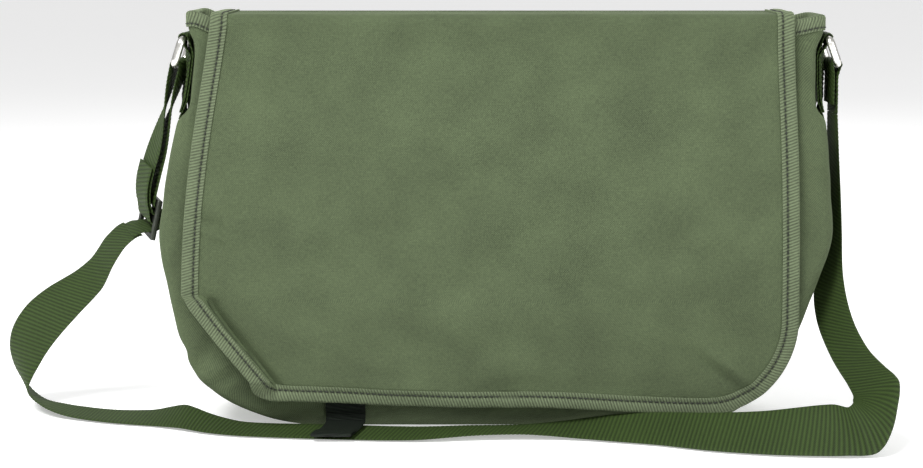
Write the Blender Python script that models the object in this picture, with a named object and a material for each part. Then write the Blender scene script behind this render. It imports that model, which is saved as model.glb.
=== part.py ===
"""Messenger bag: a soft body with a rounded bottom, a bound flap over its mouth, and a webbing
shoulder strap with a ring at each end and a tri-glide slider. Front is -Y and right is +X.
Sizes below are in millimetres, and solid() turns them into metres."""

import math

import bmesh
import bpy
from mathutils import Vector

MM = 0.001

# Where the body's middle lies, so that the origin is under the middle of the whole bag.
BODY_X = 0.5
BODY_Y = 17.8

# Fabric thicknesses, and the gap kept between touching pieces.
CANVAS = 1.2
LINING = 0.8
WEBBING = 1.3
GAP = 0.3

# Side outlines of the body as (height, distance from the middle), from the base to the mouth.
LEFT_SIDE = ((0, 128), (2, 138), (8, 155), (15, 169), (25, 182), (42, 193), (60, 200.5), (90, 207.5),
             (120, 212.5), (150, 209.5), (180, 204.5), (210, 199), (240, 195.5), (260, 195.5))
RIGHT_SIDE = ((0, 128), (2, 136), (8, 148), (15, 157), (25, 167), (42, 178.5), (60, 187), (90, 198.5),
              (120, 208.5), (150, 207.5), (180, 206), (210, 204), (240, 204), (260, 204))
# Half depth of the body at each height.
HALF_DEPTH = ((0, 36), (8, 42.5), (25, 47.5), (60, 50.5), (120, 49), (180, 41), (240, 28), (260, 28))
# Heights of the rows of points in the body's panels. Every layer uses the same ones.
ROWS = (0, 2, 8, 15, 25, 42, 60, 90, 120, 150, 180, 210, 240, 255)
MOUTH_Z = 255.0
CROWN = 4.0
CROWN_TOP_Z = 240.0

# Flap: its edges at the top, how far they spread on the way down, its lower edge and corners.
FLAP_LEFT, FLAP_RIGHT = -178.0, 183.0
FLAP_LEFT_SPREAD, FLAP_RIGHT_SPREAD = 19.0, 3.0
FLAP_BOTTOM_Z = 16.0
FLAP_CORNER = 52.0
FLAP_TOP_Z = 260.6
FLAP_STANDOFF = 4.0
BINDING_WIDTH = 11.5
BINDING = 0.9
BINDING_GAP = 0.8
MOUTH_BINDING_DEPTH = 6.0

# Flap hinges: the back seam, and the fold over the mouth's front edge.
LIFT_Y, LIFT_Z = 31.0, 257.6
FOLD_CLEAR = 4.4

# Webbing and its metalwork.
STRAP_WIDTH = 38.0
TAB_WIDTH = 25.0
RING_WIRE = 1.8
RING_HALF_Y = 22.0
RING_PITCH = 18.0
ANCHOR_LOW_Z, ANCHOR_HIGH_Z = 199.0, 240.0
RING_LEFT_TILT, RING_RIGHT_TILT = 18.0, 20.0
WRAP = RING_WIRE + GAP + WEBBING / 2
SLIDER = Vector((-226.0, 0.0, 131.0))
SLIDER_HALF_Y, SLIDER_THICK = 23.0, 2.6
SLIDER_BAR, SLIDER_PITCH = 4.0, 11.0

# Front closure: hook strips under the flap meet loop strips on the front panel.
STRIP_X, STRIP_Z = 95.0, 70.0
STRIP_SIZE = (50.0, 38.0)
TAB_X = -97.0
TAB_TOP_Z = 17.0


def rgb(red, green, blue):
    return (red, green, blue, 1.0)


COLOURS = {
    "canvas": (rgb(0.12, 0.155, 0.075), 0.85, 0.0),
    "lining": (rgb(0.05, 0.065, 0.035), 0.8, 0.0),
    "binding": (rgb(0.15, 0.19, 0.10), 0.85, 0.0),
    "webbing": (rgb(0.025, 0.045, 0.01), 0.75, 0.0),
    "board": (rgb(0.03, 0.03, 0.03), 0.6, 0.0),
    "steel": (rgb(0.55, 0.54, 0.5), 0.3, 1.0),
    "gunmetal": (rgb(0.10, 0.10, 0.09), 0.35, 1.0),
    "hook_and_loop": (rgb(0.02, 0.025, 0.015), 0.95, 0.0),
}


def clear_scene():
    for obj in list(bpy.data.objects):
        bpy.data.objects.remove(obj)


def material(name):
    found = bpy.data.materials.get(name)
    if found:
        return found
    colour, roughness, metallic = COLOURS[name]
    made = bpy.data.materials.new(name)
    made.use_nodes = True
    shader = made.node_tree.nodes["Principled BSDF"]
    shader.inputs["Base Color"].default_value = colour
    shader.inputs["Roughness"].default_value = roughness
    shader.inputs["Metallic"].default_value = metallic
    return made


def axis_empty(name, x, y, z):
    """An empty on a joint's axis, in body millimetres, for the moving pieces to hang from."""
    empty = bpy.data.objects.new(name, None)
    empty.location = ((x + BODY_X) * MM, (y + BODY_Y) * MM, z * MM)
    bpy.context.scene.collection.objects.link(empty)
    return empty


def solid(name, points, faces, slot, parent=None):
    """One closed object from points in body millimetres, with its faces turned outwards."""
    origin = Vector(parent.location) if parent else Vector((0, 0, 0))
    mesh = bpy.data.meshes.new(name)
    placed = [Vector(((p[0] + BODY_X) * MM, (p[1] + BODY_Y) * MM, p[2] * MM)) - origin for p in points]
    mesh.from_pydata(placed, [], faces)
    work = bmesh.new()
    work.from_mesh(mesh)
    bmesh.ops.recalc_face_normals(work, faces=work.faces)
    if work.calc_volume(signed=True) < 0:
        bmesh.ops.reverse_faces(work, faces=work.faces)
    work.to_mesh(mesh)
    work.free()
    mesh.materials.append(material(slot))
    obj = bpy.data.objects.new(name, mesh)
    bpy.context.scene.collection.objects.link(obj)
    obj.parent = parent
    return obj


def smooth_through(points, per_span):
    """A smooth curve through the points, with per_span steps from each to the next."""
    points = [Vector(p) for p in points]
    padded = [2 * points[0] - points[1], *points, 2 * points[-1] - points[-2]]
    curve = []
    for a, b, c, d in zip(padded, padded[1:], padded[2:], padded[3:]):
        for step in range(per_span):
            t = step / per_span
            bend = (2 * a - 5 * b + 4 * c - d) * t * t + (3 * b - a - 3 * c + d) * t**3
            curve.append(0.5 * (2 * b + (c - a) * t + bend))
    return [*curve, points[-1]]


def along(table, height):
    """The table's value at a height, read on straight lines between its rows."""
    for (z0, v0), (z1, v1) in zip(table, table[1:]):
        if height <= z1:
            return v0 + (v1 - v0) * max(0.0, height - z0) / (z1 - z0)
    return table[-1][1]


def side_x(side, z):
    """The body's outer x at a height: side is -1 on the left and 1 on the right."""
    return side * along(LEFT_SIDE if side < 0 else RIGHT_SIDE, z)


def side_out(side, z):
    """The way out of the bag, square to its side, at a height."""
    low, high = max(0.0, z - 1.0), min(255.0, z + 1.0)
    run = Vector((side_x(side, high) - side_x(side, low), 0, high - low)).normalized()
    return Vector((side * run.z, 0, -side * run.x))


def face_depth(x, z):
    """Distance of the front and back faces' outer skin from the body's middle plane."""
    across = 1 - (x / 225.0) ** 2
    rise = math.sin(math.pi * min(1.0, z / CROWN_TOP_Z))
    return along(HALF_DEPTH, z) + CROWN * across * rise


def grid_faces(rows, columns, start, flip):
    faces = []
    for row in range(rows - 1):
        for column in range(columns - 1):
            a = start + row * columns + column
            face = (a, a + 1, a + columns + 1, a + columns)
            faces.append(face[::-1] if flip else face)
    return faces


def sheet(name, outer, inner, slot, parent=None):
    """A closed sheet between two grids of points with the same rows and columns."""
    rows, columns = len(outer), len(outer[0])
    points = [p for row in outer for p in row] + [p for row in inner for p in row]
    back = rows * columns
    faces = grid_faces(rows, columns, 0, False) + grid_faces(rows, columns, back, True)
    rim = [column for column in range(columns)]
    rim += [row * columns + columns - 1 for row in range(1, rows)]
    rim += [(rows - 1) * columns + column for column in range(columns - 2, -1, -1)]
    rim += [row * columns for row in range(rows - 2, 0, -1)]
    for a, b in zip(rim, rim[1:] + rim[:1]):
        faces.append((b, a, a + back, b + back))
    return solid(name, points, faces, slot, parent)


def tube(name, rings, slot, parent=None, closed=False):
    """A closed solid through rings of points, one after the other."""
    count, size = len(rings), len(rings[0])
    faces = []
    for station in range(count if closed else count - 1):
        here, there = station * size, (station + 1) % count * size
        for k in range(size):
            after = (k + 1) % size
            faces.append((here + k, here + after, there + after, there + k))
    if not closed:
        faces.append(tuple(range(size))[::-1])
        faces.append(tuple((count - 1) * size + k for k in range(size)))
    return solid(name, [point for ring in rings for point in ring], faces, slot, parent)


def sweep(name, frames, profile, slot, parent=None, closed=False):
    """A closed profile carried along frames of (point, first axis, second axis)."""
    rings = []
    for centre, first, second in frames:
        rings.append([centre + first * a + second * b for a, b in profile])
    return tube(name, rings, slot, parent, closed)


def tangents(points):
    ends = [points[0], *points, points[-1]]
    return [(c - a).normalized() for a, c in zip(ends, ends[2:])]


def ribbon(name, centres, ways, width, slot, parent=None, columns=1):
    """Flat webbing along centres, with its width along ways, in so many columns of faces."""
    frames = []
    for centre, tangent, way in zip(centres, tangents(centres), ways):
        frames.append((centre, way, tangent.cross(way).normalized()))
    spots = [width * (column / columns - 0.5) for column in range(columns + 1)]
    half = WEBBING / 2
    profile = [(spot, -half) for spot in spots] + [(spot, half) for spot in spots[::-1]]
    return sweep(name, frames, profile, slot, parent)


def face_panel(name, side, inset, thickness, floor_z, slot):
    """A front (side -1) or back (side 1) panel, inset from the body's outer skin."""
    columns = 21
    outer, inner = [], []
    for z in [row for row in ROWS if row >= floor_z]:
        edges = [side_x(end, z) - end * inset / abs(side_out(end, z).x) for end in (-1, 1)]
        outer.append([])
        inner.append([])
        for column in range(columns):
            x = edges[0] + (edges[1] - edges[0]) * column / (columns - 1)
            y = face_depth(x, z) - max(0.0, inset - LINING)
            outer[-1].append((x, side * y, z))
            inner[-1].append((x, side * (y - thickness), z))
    return sheet(name, outer, inner, slot)


def gusset(name, side, inset, thickness, seam, low_z, slot):
    """A side panel between the front and back panels, which are seam thick."""
    outer, inner = [], []
    for z in [low_z] + [row for row in ROWS if row > low_z]:
        out = side_out(side, z)
        point = Vector((side_x(side, z), 0, z)) - out * inset
        lower = point - out * thickness
        half = along(HALF_DEPTH, z) - seam
        ys = [half * share for share in (-1, -0.5, 0, 0.5, 1)]
        outer.append([(point.x, y, point.z) for y in ys])
        inner.append([(lower.x, y, lower.z) for y in ys])
    return sheet(name, outer, inner, slot)


def slab(name, half_x, half_y, low_z, high_z, slot):
    grids = []
    for z in (high_z, low_z):
        grids.append([[(x, y, z) for x in (-half_x, half_x)] for y in (-half_y, half_y)])
    return sheet(name, grids[0], grids[1], slot)


def body():
    seam = CANVAS + GAP
    base_half_x = LEFT_SIDE[0][1] - 0.5
    lining_seam = 2 * seam + LINING
    face_panel("front_panel", -1, 0.0, CANVAS, 0, "canvas")
    face_panel("back_panel", 1, 0.0, CANVAS, 0, "canvas")
    for side, word in ((-1, "left"), (1, "right")):
        gusset("gusset_" + word, side, 0.0, CANVAS, seam, 0.3, "canvas")
        gusset("lining_" + word, side, seam, LINING, lining_seam, 8, "lining")
    slab("base_panel", base_half_x, along(HALF_DEPTH, 0) - seam, 0.0, CANVAS, "canvas")
    slab("base_board", base_half_x - 6, along(HALF_DEPTH, 0) - 5, seam, seam + 2.4, "board")
    face_panel("lining_front", -1, seam + LINING, LINING, 8, "lining")
    face_panel("lining_back", 1, seam + LINING, LINING, 8, "lining")


def mouth_loop():
    """Frames at the mouth's four corners. Each first axis is long enough to mitre the corner."""
    half_y = along(HALF_DEPTH, MOUTH_Z)
    frames = []
    for side, depth in ((1, 1), (-1, 1), (-1, -1), (1, -1)):
        corner = Vector((side_x(side, MOUTH_Z), depth * half_y, MOUTH_Z))
        frames.append((corner, Vector((side, depth, 0)), Vector((0, 0, 1))))
    return frames


def mouth_binding():
    leg = MOUTH_BINDING_DEPTH
    out = GAP + BINDING
    deep = CANVAS + GAP + LINING + GAP
    profile = ((out, -leg), (out, GAP + BINDING), (-deep - BINDING, GAP + BINDING),
               (-deep - BINDING, -leg), (-deep, -leg), (-deep, GAP), (GAP, GAP), (GAP, -leg))
    sweep("mouth_binding", mouth_loop(), profile, "binding", closed=True)


def flap_edges(z):
    """The flap's left and right edge at a height, rounded at its lower corners."""
    drop = 1 - (z - FLAP_BOTTOM_Z) / (FLAP_TOP_Z - FLAP_BOTTOM_Z)
    spread = math.sin(0.5 * math.pi * min(1.0, drop * 1.3))
    below = max(0.0, FLAP_BOTTOM_Z + FLAP_CORNER - z)
    tuck = FLAP_CORNER - math.sqrt(max(0.0, FLAP_CORNER**2 - below**2))
    return FLAP_LEFT - FLAP_LEFT_SPREAD * spread + tuck, FLAP_RIGHT + FLAP_RIGHT_SPREAD * spread - tuck


def flap_rows():
    """Heights of the flap's rows of points, closer together round its lower corners."""
    near = [FLAP_BOTTOM_Z + step for step in (0, 0.6, 2, 5, 9, 16, 26, 36, 44, 52)]
    return near + [row for row in ROWS if near[-1] + 5 < row < 240] + [230, 240, 250, FLAP_TOP_Z - GAP]


def fold_line():
    """The front hinge: the flap's outermost line where it turns down over the mouth."""
    thick = LINING + GAP + CANVAS
    return -(face_depth(0, MOUTH_Z) + FLAP_STANDOFF + thick), FLAP_TOP_Z


def flap_skin(x, z):
    """How far the flap's inner side stands from the body's middle plane."""
    return face_depth(x, min(z, MOUTH_Z)) + FLAP_STANDOFF


def flap_front_sheet(name, nearer, thickness, slot, parent):
    """A layer of the flap's front, nearer millimetres out from its inner side."""
    outer, inner = [], []
    for z in sorted(flap_rows()):
        left, right = flap_edges(z)
        outer.append([])
        inner.append([])
        for column in range(19):
            x = left + (right - left) * column / 18
            y = -flap_skin(x, z) - nearer
            outer[-1].append((x, y - thickness, z))
            inner[-1].append((x, y, z))
    return sheet(name, outer, inner, slot, parent)


def flap_outline():
    """Points round the flap's free edge, from its left top to its right top."""
    rows = sorted(flap_rows())
    left = [Vector((flap_edges(z)[0], 0, z)) for z in rows[::-1]]
    right = [Vector((flap_edges(z)[1], 0, z)) for z in rows]
    between = [left[-1].lerp(right[0], share) for share in (0.2, 0.4, 0.6, 0.8)]
    return left + between + right


def flap_binding(parent):
    """Tape folded round the flap's free edge, outside and inside."""
    out = LINING + GAP + CANVAS + BINDING_GAP
    profile = ((-BINDING - GAP, -BINDING_GAP - BINDING), (BINDING_WIDTH, -BINDING_GAP - BINDING),
               (BINDING_WIDTH, -BINDING_GAP), (-GAP, -BINDING_GAP), (-GAP, out), (BINDING_WIDTH, out),
               (BINDING_WIDTH, out + BINDING), (-BINDING - GAP, out + BINDING))
    spots = flap_outline()
    rings = []
    for spot, run in zip(spots, tangents(spots)):
        inward = Vector((-run.z, 0, run.x))
        ring = []
        for a, b in profile:
            place = spot + inward * a
            ring.append(Vector((place.x, -flap_skin(place.x, place.z) - b, place.z)))
        rings.append(ring)
    tube("flap_binding", rings, "binding", parent)


def flap_top_grid(z, left, right):
    rear, front = LIFT_Y - 2.0, fold_line()[0] + FOLD_CLEAR
    rows = [front + (rear - front) * step / 3 for step in range(4)]
    return [[(left + (right - left) * column / 6, y, z) for column in range(7)] for y in rows]


def flap_top(parent):
    high, low = FLAP_TOP_Z, FLAP_TOP_Z - LINING - GAP - CANVAS
    left, right = FLAP_LEFT, FLAP_RIGHT
    for name, top, bottom, slot in (("flap_top", high, high - CANVAS, "canvas"),
                                    ("flap_top_lining", low + LINING, low, "lining")):
        sheet(name, flap_top_grid(top, left, right), flap_top_grid(bottom, left, right), slot, parent)
    rear, front = LIFT_Y - 2.0, fold_line()[0] + FOLD_CLEAR
    above, below = high + GAP, low - GAP
    profile = ((-BINDING - GAP, below - BINDING), (BINDING_WIDTH, below - BINDING), (BINDING_WIDTH, below),
               (-GAP, below), (-GAP, above), (BINDING_WIDTH, above), (BINDING_WIDTH, above + BINDING),
               (-BINDING - GAP, above + BINDING))
    for word, x, inward in (("left", left, 1), ("right", right, -1)):
        frames = [(Vector((x, y, 0)), Vector((inward, 0, 0)), Vector((0, 0, 1))) for y in (front, rear)]
        sweep("flap_top_binding_" + word, frames, profile, "binding", parent)


def closure_strips(flap_parent):
    """Hook strips on the flap's inside, facing loop strips on the front panel."""
    half_x, half_z = STRIP_SIZE[0] / 2, STRIP_SIZE[1] / 2
    for word, x in (("left", -STRIP_X), ("right", STRIP_X)):
        for name, near, parent in (("loop_strip_", 0.6, None), ("hook_strip_", 2.3, flap_parent)):
            grids = []
            for offset in (near + 1.3, near):
                rows = []
                for z in (STRIP_Z - half_z, 60.0, STRIP_Z, STRIP_Z + half_z):
                    spots = [x + half_x * share for share in (-1, -0.5, 0, 0.5, 1)]
                    rows.append([(spot, -face_depth(spot, z) - offset, z) for spot in spots])
                grids.append(rows)
            sheet(name + word, grids[0], grids[1], "hook_and_loop", parent)


def arc(centre, radius, start, end, steps):
    """Points in the XZ plane round a centre, angles in degrees from +X towards +Z."""
    points = []
    for step in range(steps + 1):
        angle = math.radians(start + (end - start) * step / steps)
        points.append(centre + Vector((math.cos(angle), 0, math.sin(angle))) * radius)
    return points


def ring_centres(side):
    """The ring's upper and lower bar centres."""
    tilt = math.radians(RING_LEFT_TILT if side < 0 else RING_RIGHT_TILT)
    away = GAP + WEBBING / 2 + WRAP
    upper = Vector((side_x(side, ANCHOR_HIGH_Z) + side * away, 0, ANCHOR_HIGH_Z + 5.0))
    return upper, upper + Vector((side * math.sin(tilt), 0, -math.cos(tilt))) * RING_PITCH


def anchor_tab(word, side):
    """Webbing sewn flat on the gusset, folded over the ring's upper bar."""
    upper = ring_centres(side)[0]
    inner_x = GAP + WEBBING / 2
    outer_x = inner_x + WEBBING + GAP
    rising = (ANCHOR_LOW_Z, 215.0, 230.0, ANCHOR_HIGH_Z - 3)
    falling = (ANCHOR_HIGH_Z - 6, 230.0, 215.0, ANCHOR_LOW_Z + 4)
    path = [Vector((side_x(side, z) + side * inner_x, 0, z)) for z in rising]
    path += arc(upper, WRAP, 180 if side > 0 else 0, 0 if side > 0 else 180, 8)
    path += [Vector((side_x(side, z) + side * outer_x, 0, z)) for z in falling]
    sides = [Vector((0, 1, 0))] * len(path)
    ribbon("anchor_tab_" + word, path, sides, STRAP_WIDTH, "webbing")


def ring(word, side, parent):
    """A rectangular wire ring with rounded corners."""
    upper, lower = ring_centres(side)
    corner = 3.5
    down = (lower - upper).normalized()
    path = []
    for y_sign, end, start in ((1, upper, 90), (1, lower, 0), (-1, lower, -90), (-1, upper, -180)):
        inward = down if end is upper else -down
        centre = end + inward * corner + Vector((0, y_sign * (RING_HALF_Y - corner), 0))
        for turn in (0, -30, -60, -90):
            angle = math.radians(start + turn)
            path.append(centre + Vector((0, math.cos(angle), 0)) * corner - down * math.sin(angle) * corner)
    out = down.cross(Vector((0, 1, 0)))
    frames = []
    for before, point, after in zip(path[-1:] + path, path, path[1:] + path[:1]):
        run = (after - before).normalized()
        frames.append((point, out, run.cross(out)))
    turns = [math.radians(angle) for angle in range(0, 360, 36)]
    profile = [(RING_WIRE * math.cos(turn), RING_WIRE * math.sin(turn)) for turn in turns]
    obj = sweep("ring_" + word, frames, profile, "steel", parent, closed=True)
    obj.data.shade_smooth()


def slider_axes():
    """The slider's way up the strap, and its way out from the bag."""
    up = (ring_centres(-1)[1] - SLIDER).normalized()
    return up, Vector((-up.z, 0, up.x))


def slider_cells():
    """The slider's flat cells as (row, column), without its two slots."""
    return [(row, column) for row in range(5) for column in range(3) if column != 1 or row not in (1, 3)]


def slider_walls(cells):
    """The cell edges with no cell beyond them, as pairs of grid corners."""
    walls = []
    for row, column in cells:
        corners = ((row, column), (row, column + 1), (row + 1, column + 1), (row + 1, column))
        beyond = ((row - 1, column), (row, column + 1), (row + 1, column), (row, column - 1))
        for k, neighbour in enumerate(beyond):
            if neighbour not in cells:
                walls.append((corners[k], corners[(k + 1) % 4]))
    return walls


def slider(parent):
    """A tri-glide: a frame with two slots either side of its middle bar."""
    up, out = slider_axes()
    half = SLIDER_HALF_Y
    post = SLIDER_BAR * 0.75
    across = (-half, -half + post, half - post, half)
    along_strap = []
    for middle in (-SLIDER_PITCH, 0.0, SLIDER_PITCH):
        along_strap += [middle - SLIDER_BAR / 2, middle + SLIDER_BAR / 2]
    points = []
    for height in (SLIDER_THICK / 2, -SLIDER_THICK / 2):
        for s in along_strap:
            points += [SLIDER + up * s + out * height + Vector((0, y, 0)) for y in across]
    back = len(points) // 2
    columns = len(across)
    faces = []
    for row, column in slider_cells():
        a = row * columns + column
        face = (a, a + 1, a + columns + 1, a + columns)
        faces += [face, tuple(corner + back for corner in face[::-1])]
    for (row_a, column_a), (row_b, column_b) in slider_walls(slider_cells()):
        a, b = row_a * columns + column_a, row_b * columns + column_b
        faces.append((b, a, a + back, b + back))
    solid("slider", points, faces, "gunmetal", parent)


def adjuster_strap():
    """The strap's doubled stretch: sewn round the slider's middle bar, up through the left ring,
    and back down through the slider. Points are (way up the strap, way out from the bag)."""
    up, out = slider_axes()
    lower = ring_centres(-1)[1]
    reach = (lower - SLIDER).length
    sewn_end = [(28, 6.0), (20, 6.1), (14, 6.1), (11, 6.1), (8, 5.9), (5.2, 5.0), (2.5, 4.4)]
    wrap = []
    for angle in range(105, 391, 26):
        wrap.append((3.4 * math.cos(math.radians(angle)), 3.4 * math.sin(math.radians(angle))))
    rising = [(5.2, 3.0), (8, 4.0), (11, 4.2), (14, 4.2), (20, 4.1), (30, 3.8), (45, 3.4), (70, 3.0)]
    rising.append((reach - 6, WRAP))
    over_ring = []
    for angle in range(90, -91, -30):
        over_ring.append((reach + WRAP * math.cos(math.radians(angle)), WRAP * math.sin(math.radians(angle))))
    falling = [(reach - 6, -WRAP), (70, -1.7), (45, -0.2), (30, 1.2), (20, 2.1), (14, 2.35), (10.5, 2.35), (8.1, 1.9)]
    through = [(7.9, 0), (7.2, -2), (5.6, -4.0), (3, -4.9)]
    back = [(-s, h) for s, h in through[::-1]]
    spots = sewn_end + wrap + rising + over_ring + falling + through + [(0, -5.2)] + back
    spots += [(-8.2, 1.9), (-8.9, 3.8), (-9.1, 6.2)]
    centres = [SLIDER + up * s + out * h for s, h in spots]
    centres = smooth_through(centres, 2)
    ribbon("adjuster_strap", centres, [Vector((0, 1, 0))] * len(centres), STRAP_WIDTH, "webbing")


def strap_end(parent):
    """The strap's sewn end, folded round the right ring's lower bar."""
    lower = ring_centres(1)[1]
    top = arc(lower, WRAP, 180, 0, 6)
    inside = [Vector((lower.x - 2.0, 0, z)) for z in (203.0, 212.0, 221.0)]
    outside = [Vector((lower.x + 0.4, 0, z)) for z in (221.0, 212.0, 203.0, 197.0)]
    path = inside + top + outside
    ribbon("strap_end", path, [Vector((0, 1, 0))] * len(path), STRAP_WIDTH, "webbing", parent)


# Middle of the free strap, from the slider's outer side to the right ring's loop, and the way its
# width points there, from the near edge to the far one. It turns over at the left on the way down,
# lies on the floor across the bag's front, stands up on its edge at the right and climbs the side.
STRAP_ROUTE = (
    ((-237.2, 0, 122.0), (-0.02, 1.0, 0.0)),
    ((-241.5, 1, 119.0), (-0.18, 0.98, 0.03)),
    ((-250, 3, 111), (-0.38, 0.92, 0.02)),
    ((-259, 6, 98), (-0.50, 0.86, 0.06)),
    ((-269, 9, 86), (-0.63, 0.76, 0.16)),
    ((-284, 11, 74), (-0.72, 0.63, 0.27)),
    ((-298, 13, 61), (-0.74, 0.57, 0.36)),
    ((-308, 14, 48), (-0.74, 0.60, 0.32)),
    ((-314, 16, 35), (-0.66, 0.71, 0.24)),
    ((-316, 17, 22), (-0.46, 0.87, 0.14)),
    ((-311, 15, 11), (-0.20, 0.97, -0.10)),
    ((-301, 8, 5), (-0.10, 0.98, -0.14)),
    ((-288, -1, 2.8), (-0.06, 0.99, -0.07)),
    ((-272, -9, 1.6), (-0.10, 0.99, -0.02)),
    ((-248, -19, 1.4), (-0.14, 0.98, 0.0)),
    ((-222, -26, 2.2), (-0.10, 0.99, 0.05)),
    ((-202, -36, 5.4), (-0.06, 0.98, 0.17)),
    ((-186, -45, 3.6), (-0.06, 0.99, 0.10)),
    ((-162, -53, 1.3), (-0.05, 1.0, 0.0)),
    ((-123, -59, 1.2), (-0.02, 1.0, 0.0)),
    ((-85, -63, 1.2), (0.0, 1.0, 0.0)),
    ((-50, -66, 1.6), (0.0, 1.0, -0.02)),
    ((-18, -63, 2.6), (0.0, 1.0, -0.07)),
    ((15, -61, 2.8), (0.0, 1.0, -0.08)),
    ((45, -61.5, 3.2), (0.0, 1.0, 0.06)),
    ((72, -68.5, 5.6), (0.03, 0.97, 0.22)),
    ((100, -78, 7.4), (0.06, 0.94, 0.32)),
    ((128, -92, 9.0), (0.08, 0.91, 0.40)),
    ((161, -103, 11), (0.08, 0.86, 0.50)),
    ((190, -109, 13.5), (0.0, 0.78, 0.62)),
    ((206, -111, 14.5), (-0.14, 0.75, 0.65)),
    ((218, -110, 14), (-0.34, 0.75, 0.57)),
    ((224, -108, 20), (-0.44, 0.82, 0.35)),
    ((228, -98, 28), (-0.56, 0.82, -0.08)),
    ((230, -89, 35), (-0.60, 0.70, -0.38)),
    ((226, -78, 41), (-0.53, 0.76, -0.37)),
    ((219, -63, 50), (-0.46, 0.82, -0.30)),
    ((212.5, -47, 65), (-0.46, 0.86, -0.18)),
    ((210, -33, 81), (-0.40, 0.90, -0.14)),
    ((211.5, -21, 99), (-0.28, 0.95, -0.10)),
    ((215, -11, 120), (-0.16, 0.98, -0.08)),
    ((217, -4, 145), (-0.06, 0.99, -0.04)),
    ((216, -1, 170), (-0.02, 1.0, 0.0)),
)


def raised(path, ways):
    """The strap's middle again, lifted where one of its edges would sink into the floor."""
    lifted = []
    for centre, tangent, way in zip(path, tangents(path), ways):
        flat = tangent.cross(way).normalized()
        reach = abs(way.z) * STRAP_WIDTH / 2 + abs(flat.z) * WEBBING / 2
        lifted.append(Vector((centre.x, centre.y, max(centre.z, reach + GAP))))
    return lifted


def shoulder_strap():
    end = Vector((ring_centres(1)[1].x + 0.4, 0, 196.4))
    spots = [spot for spot, _ in STRAP_ROUTE] + [end]
    ways = [way for _, way in STRAP_ROUTE] + [(0, 1, 0)]
    ways = [way.normalized() for way in smooth_through(ways, 2)]
    path = smooth_through(spots, 2)
    # Lifting changes the slope, so it takes a few rounds to settle.
    for _ in range(4):
        path = raised(path, ways)
    ribbon("shoulder_strap", path, ways, STRAP_WIDTH, "webbing", columns=5)


def closure_tab(parent):
    """A short webbing tab sewn low on the front, bent forward over the strap on the floor."""
    sewn = []
    for z in (TAB_TOP_Z, 12.0, 8.5):
        sewn.append(Vector((TAB_X, -face_depth(TAB_X, z) - GAP - WEBBING / 2, z)))
    ribbon("tab_sewn", sewn, [Vector((1, 0, 0))] * len(sewn), TAB_WIDTH, "webbing")
    y = sewn[-1].y
    loose = [Vector((TAB_X, y, 7.4)), Vector((TAB_X, y - 2.2, 5.2)), Vector((TAB_X, y - 6, 4.4))]
    loose += [Vector((TAB_X - 2, y - 20, 4.2)), Vector((TAB_X - 6, y - 40, 4.0))]
    ribbon("tab_loose", loose, [Vector((1, 0, 0))] * len(loose), TAB_WIDTH, "webbing", parent)


def main():
    clear_scene()
    lift = axis_empty("flap_lift_axis", 0, LIFT_Y, LIFT_Z)
    fold_y, fold_z = fold_line()
    fold = axis_empty("flap_fold_axis", 0, fold_y, fold_z)
    body()
    mouth_binding()
    flap_top(lift)
    flap_front_sheet("flap_front", LINING + GAP, CANVAS, "canvas", fold)
    flap_front_sheet("flap_lining", 0.0, LINING, "lining", fold)
    flap_binding(fold)
    closure_strips(fold)
    for side, word in ((-1, "left"), (1, "right")):
        upper = ring_centres(side)[0]
        pivot = axis_empty(f"ring_{word}_axis", upper.x, upper.y, upper.z)
        anchor_tab(word, side)
        ring(word, side, pivot)
        if side > 0:
            strap_end(pivot)
    carriage = axis_empty("slider_axis", SLIDER.x, SLIDER.y, SLIDER.z)
    slider(carriage)
    adjuster_strap()
    shoulder_strap()
    tab_bend = axis_empty("tab_axis", TAB_X, -face_depth(TAB_X, 8.0) - GAP - WEBBING / 2, 8.0)
    closure_tab(tab_bend)


main()
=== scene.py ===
"""Looks of the messenger bag: a sagging canvas shell with its lining, a tape-bound flap, ribbed
webbing straps, rings, slider, stitching, materials, light and camera, built round the CAD frame.
Sizes are in millimetres in the bag's own axes, and place() turns them into the row frame's metres."""

import math

import bmesh
import bpy
import numpy as np
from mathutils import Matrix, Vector, noise


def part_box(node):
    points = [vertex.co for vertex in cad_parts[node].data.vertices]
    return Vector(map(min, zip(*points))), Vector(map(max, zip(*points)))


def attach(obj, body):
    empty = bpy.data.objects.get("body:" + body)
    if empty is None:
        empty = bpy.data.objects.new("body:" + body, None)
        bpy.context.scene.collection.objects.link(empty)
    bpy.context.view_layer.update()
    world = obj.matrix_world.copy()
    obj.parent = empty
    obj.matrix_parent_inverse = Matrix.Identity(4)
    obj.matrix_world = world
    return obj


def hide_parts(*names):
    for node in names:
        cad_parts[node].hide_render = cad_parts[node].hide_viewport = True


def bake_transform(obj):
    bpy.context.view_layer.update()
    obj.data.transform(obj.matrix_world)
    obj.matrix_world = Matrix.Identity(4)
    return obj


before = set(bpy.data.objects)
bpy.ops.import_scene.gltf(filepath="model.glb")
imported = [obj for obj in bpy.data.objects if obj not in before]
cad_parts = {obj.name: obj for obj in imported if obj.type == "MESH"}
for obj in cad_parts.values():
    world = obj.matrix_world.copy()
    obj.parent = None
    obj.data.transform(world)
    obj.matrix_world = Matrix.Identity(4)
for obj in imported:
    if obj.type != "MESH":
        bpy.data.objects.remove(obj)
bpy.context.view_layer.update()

MM = 0.001
TURN = 2 * math.pi

# Where the body's middle lies in the row frame, in millimetres: over the middle of its base.
BASE_MIDDLE = np.mean([tuple(corner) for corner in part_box("base_panel")], axis=0) / MM
BODY_SHIFT = np.array((round(BASE_MIDDLE[0], 3), round(BASE_MIDDLE[1], 3), 0.0))

# Fabric thicknesses and the gap between layers.
CANVAS = 1.2
LINING = 0.8
WEBBING = 1.3
GAP = 0.3

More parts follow.
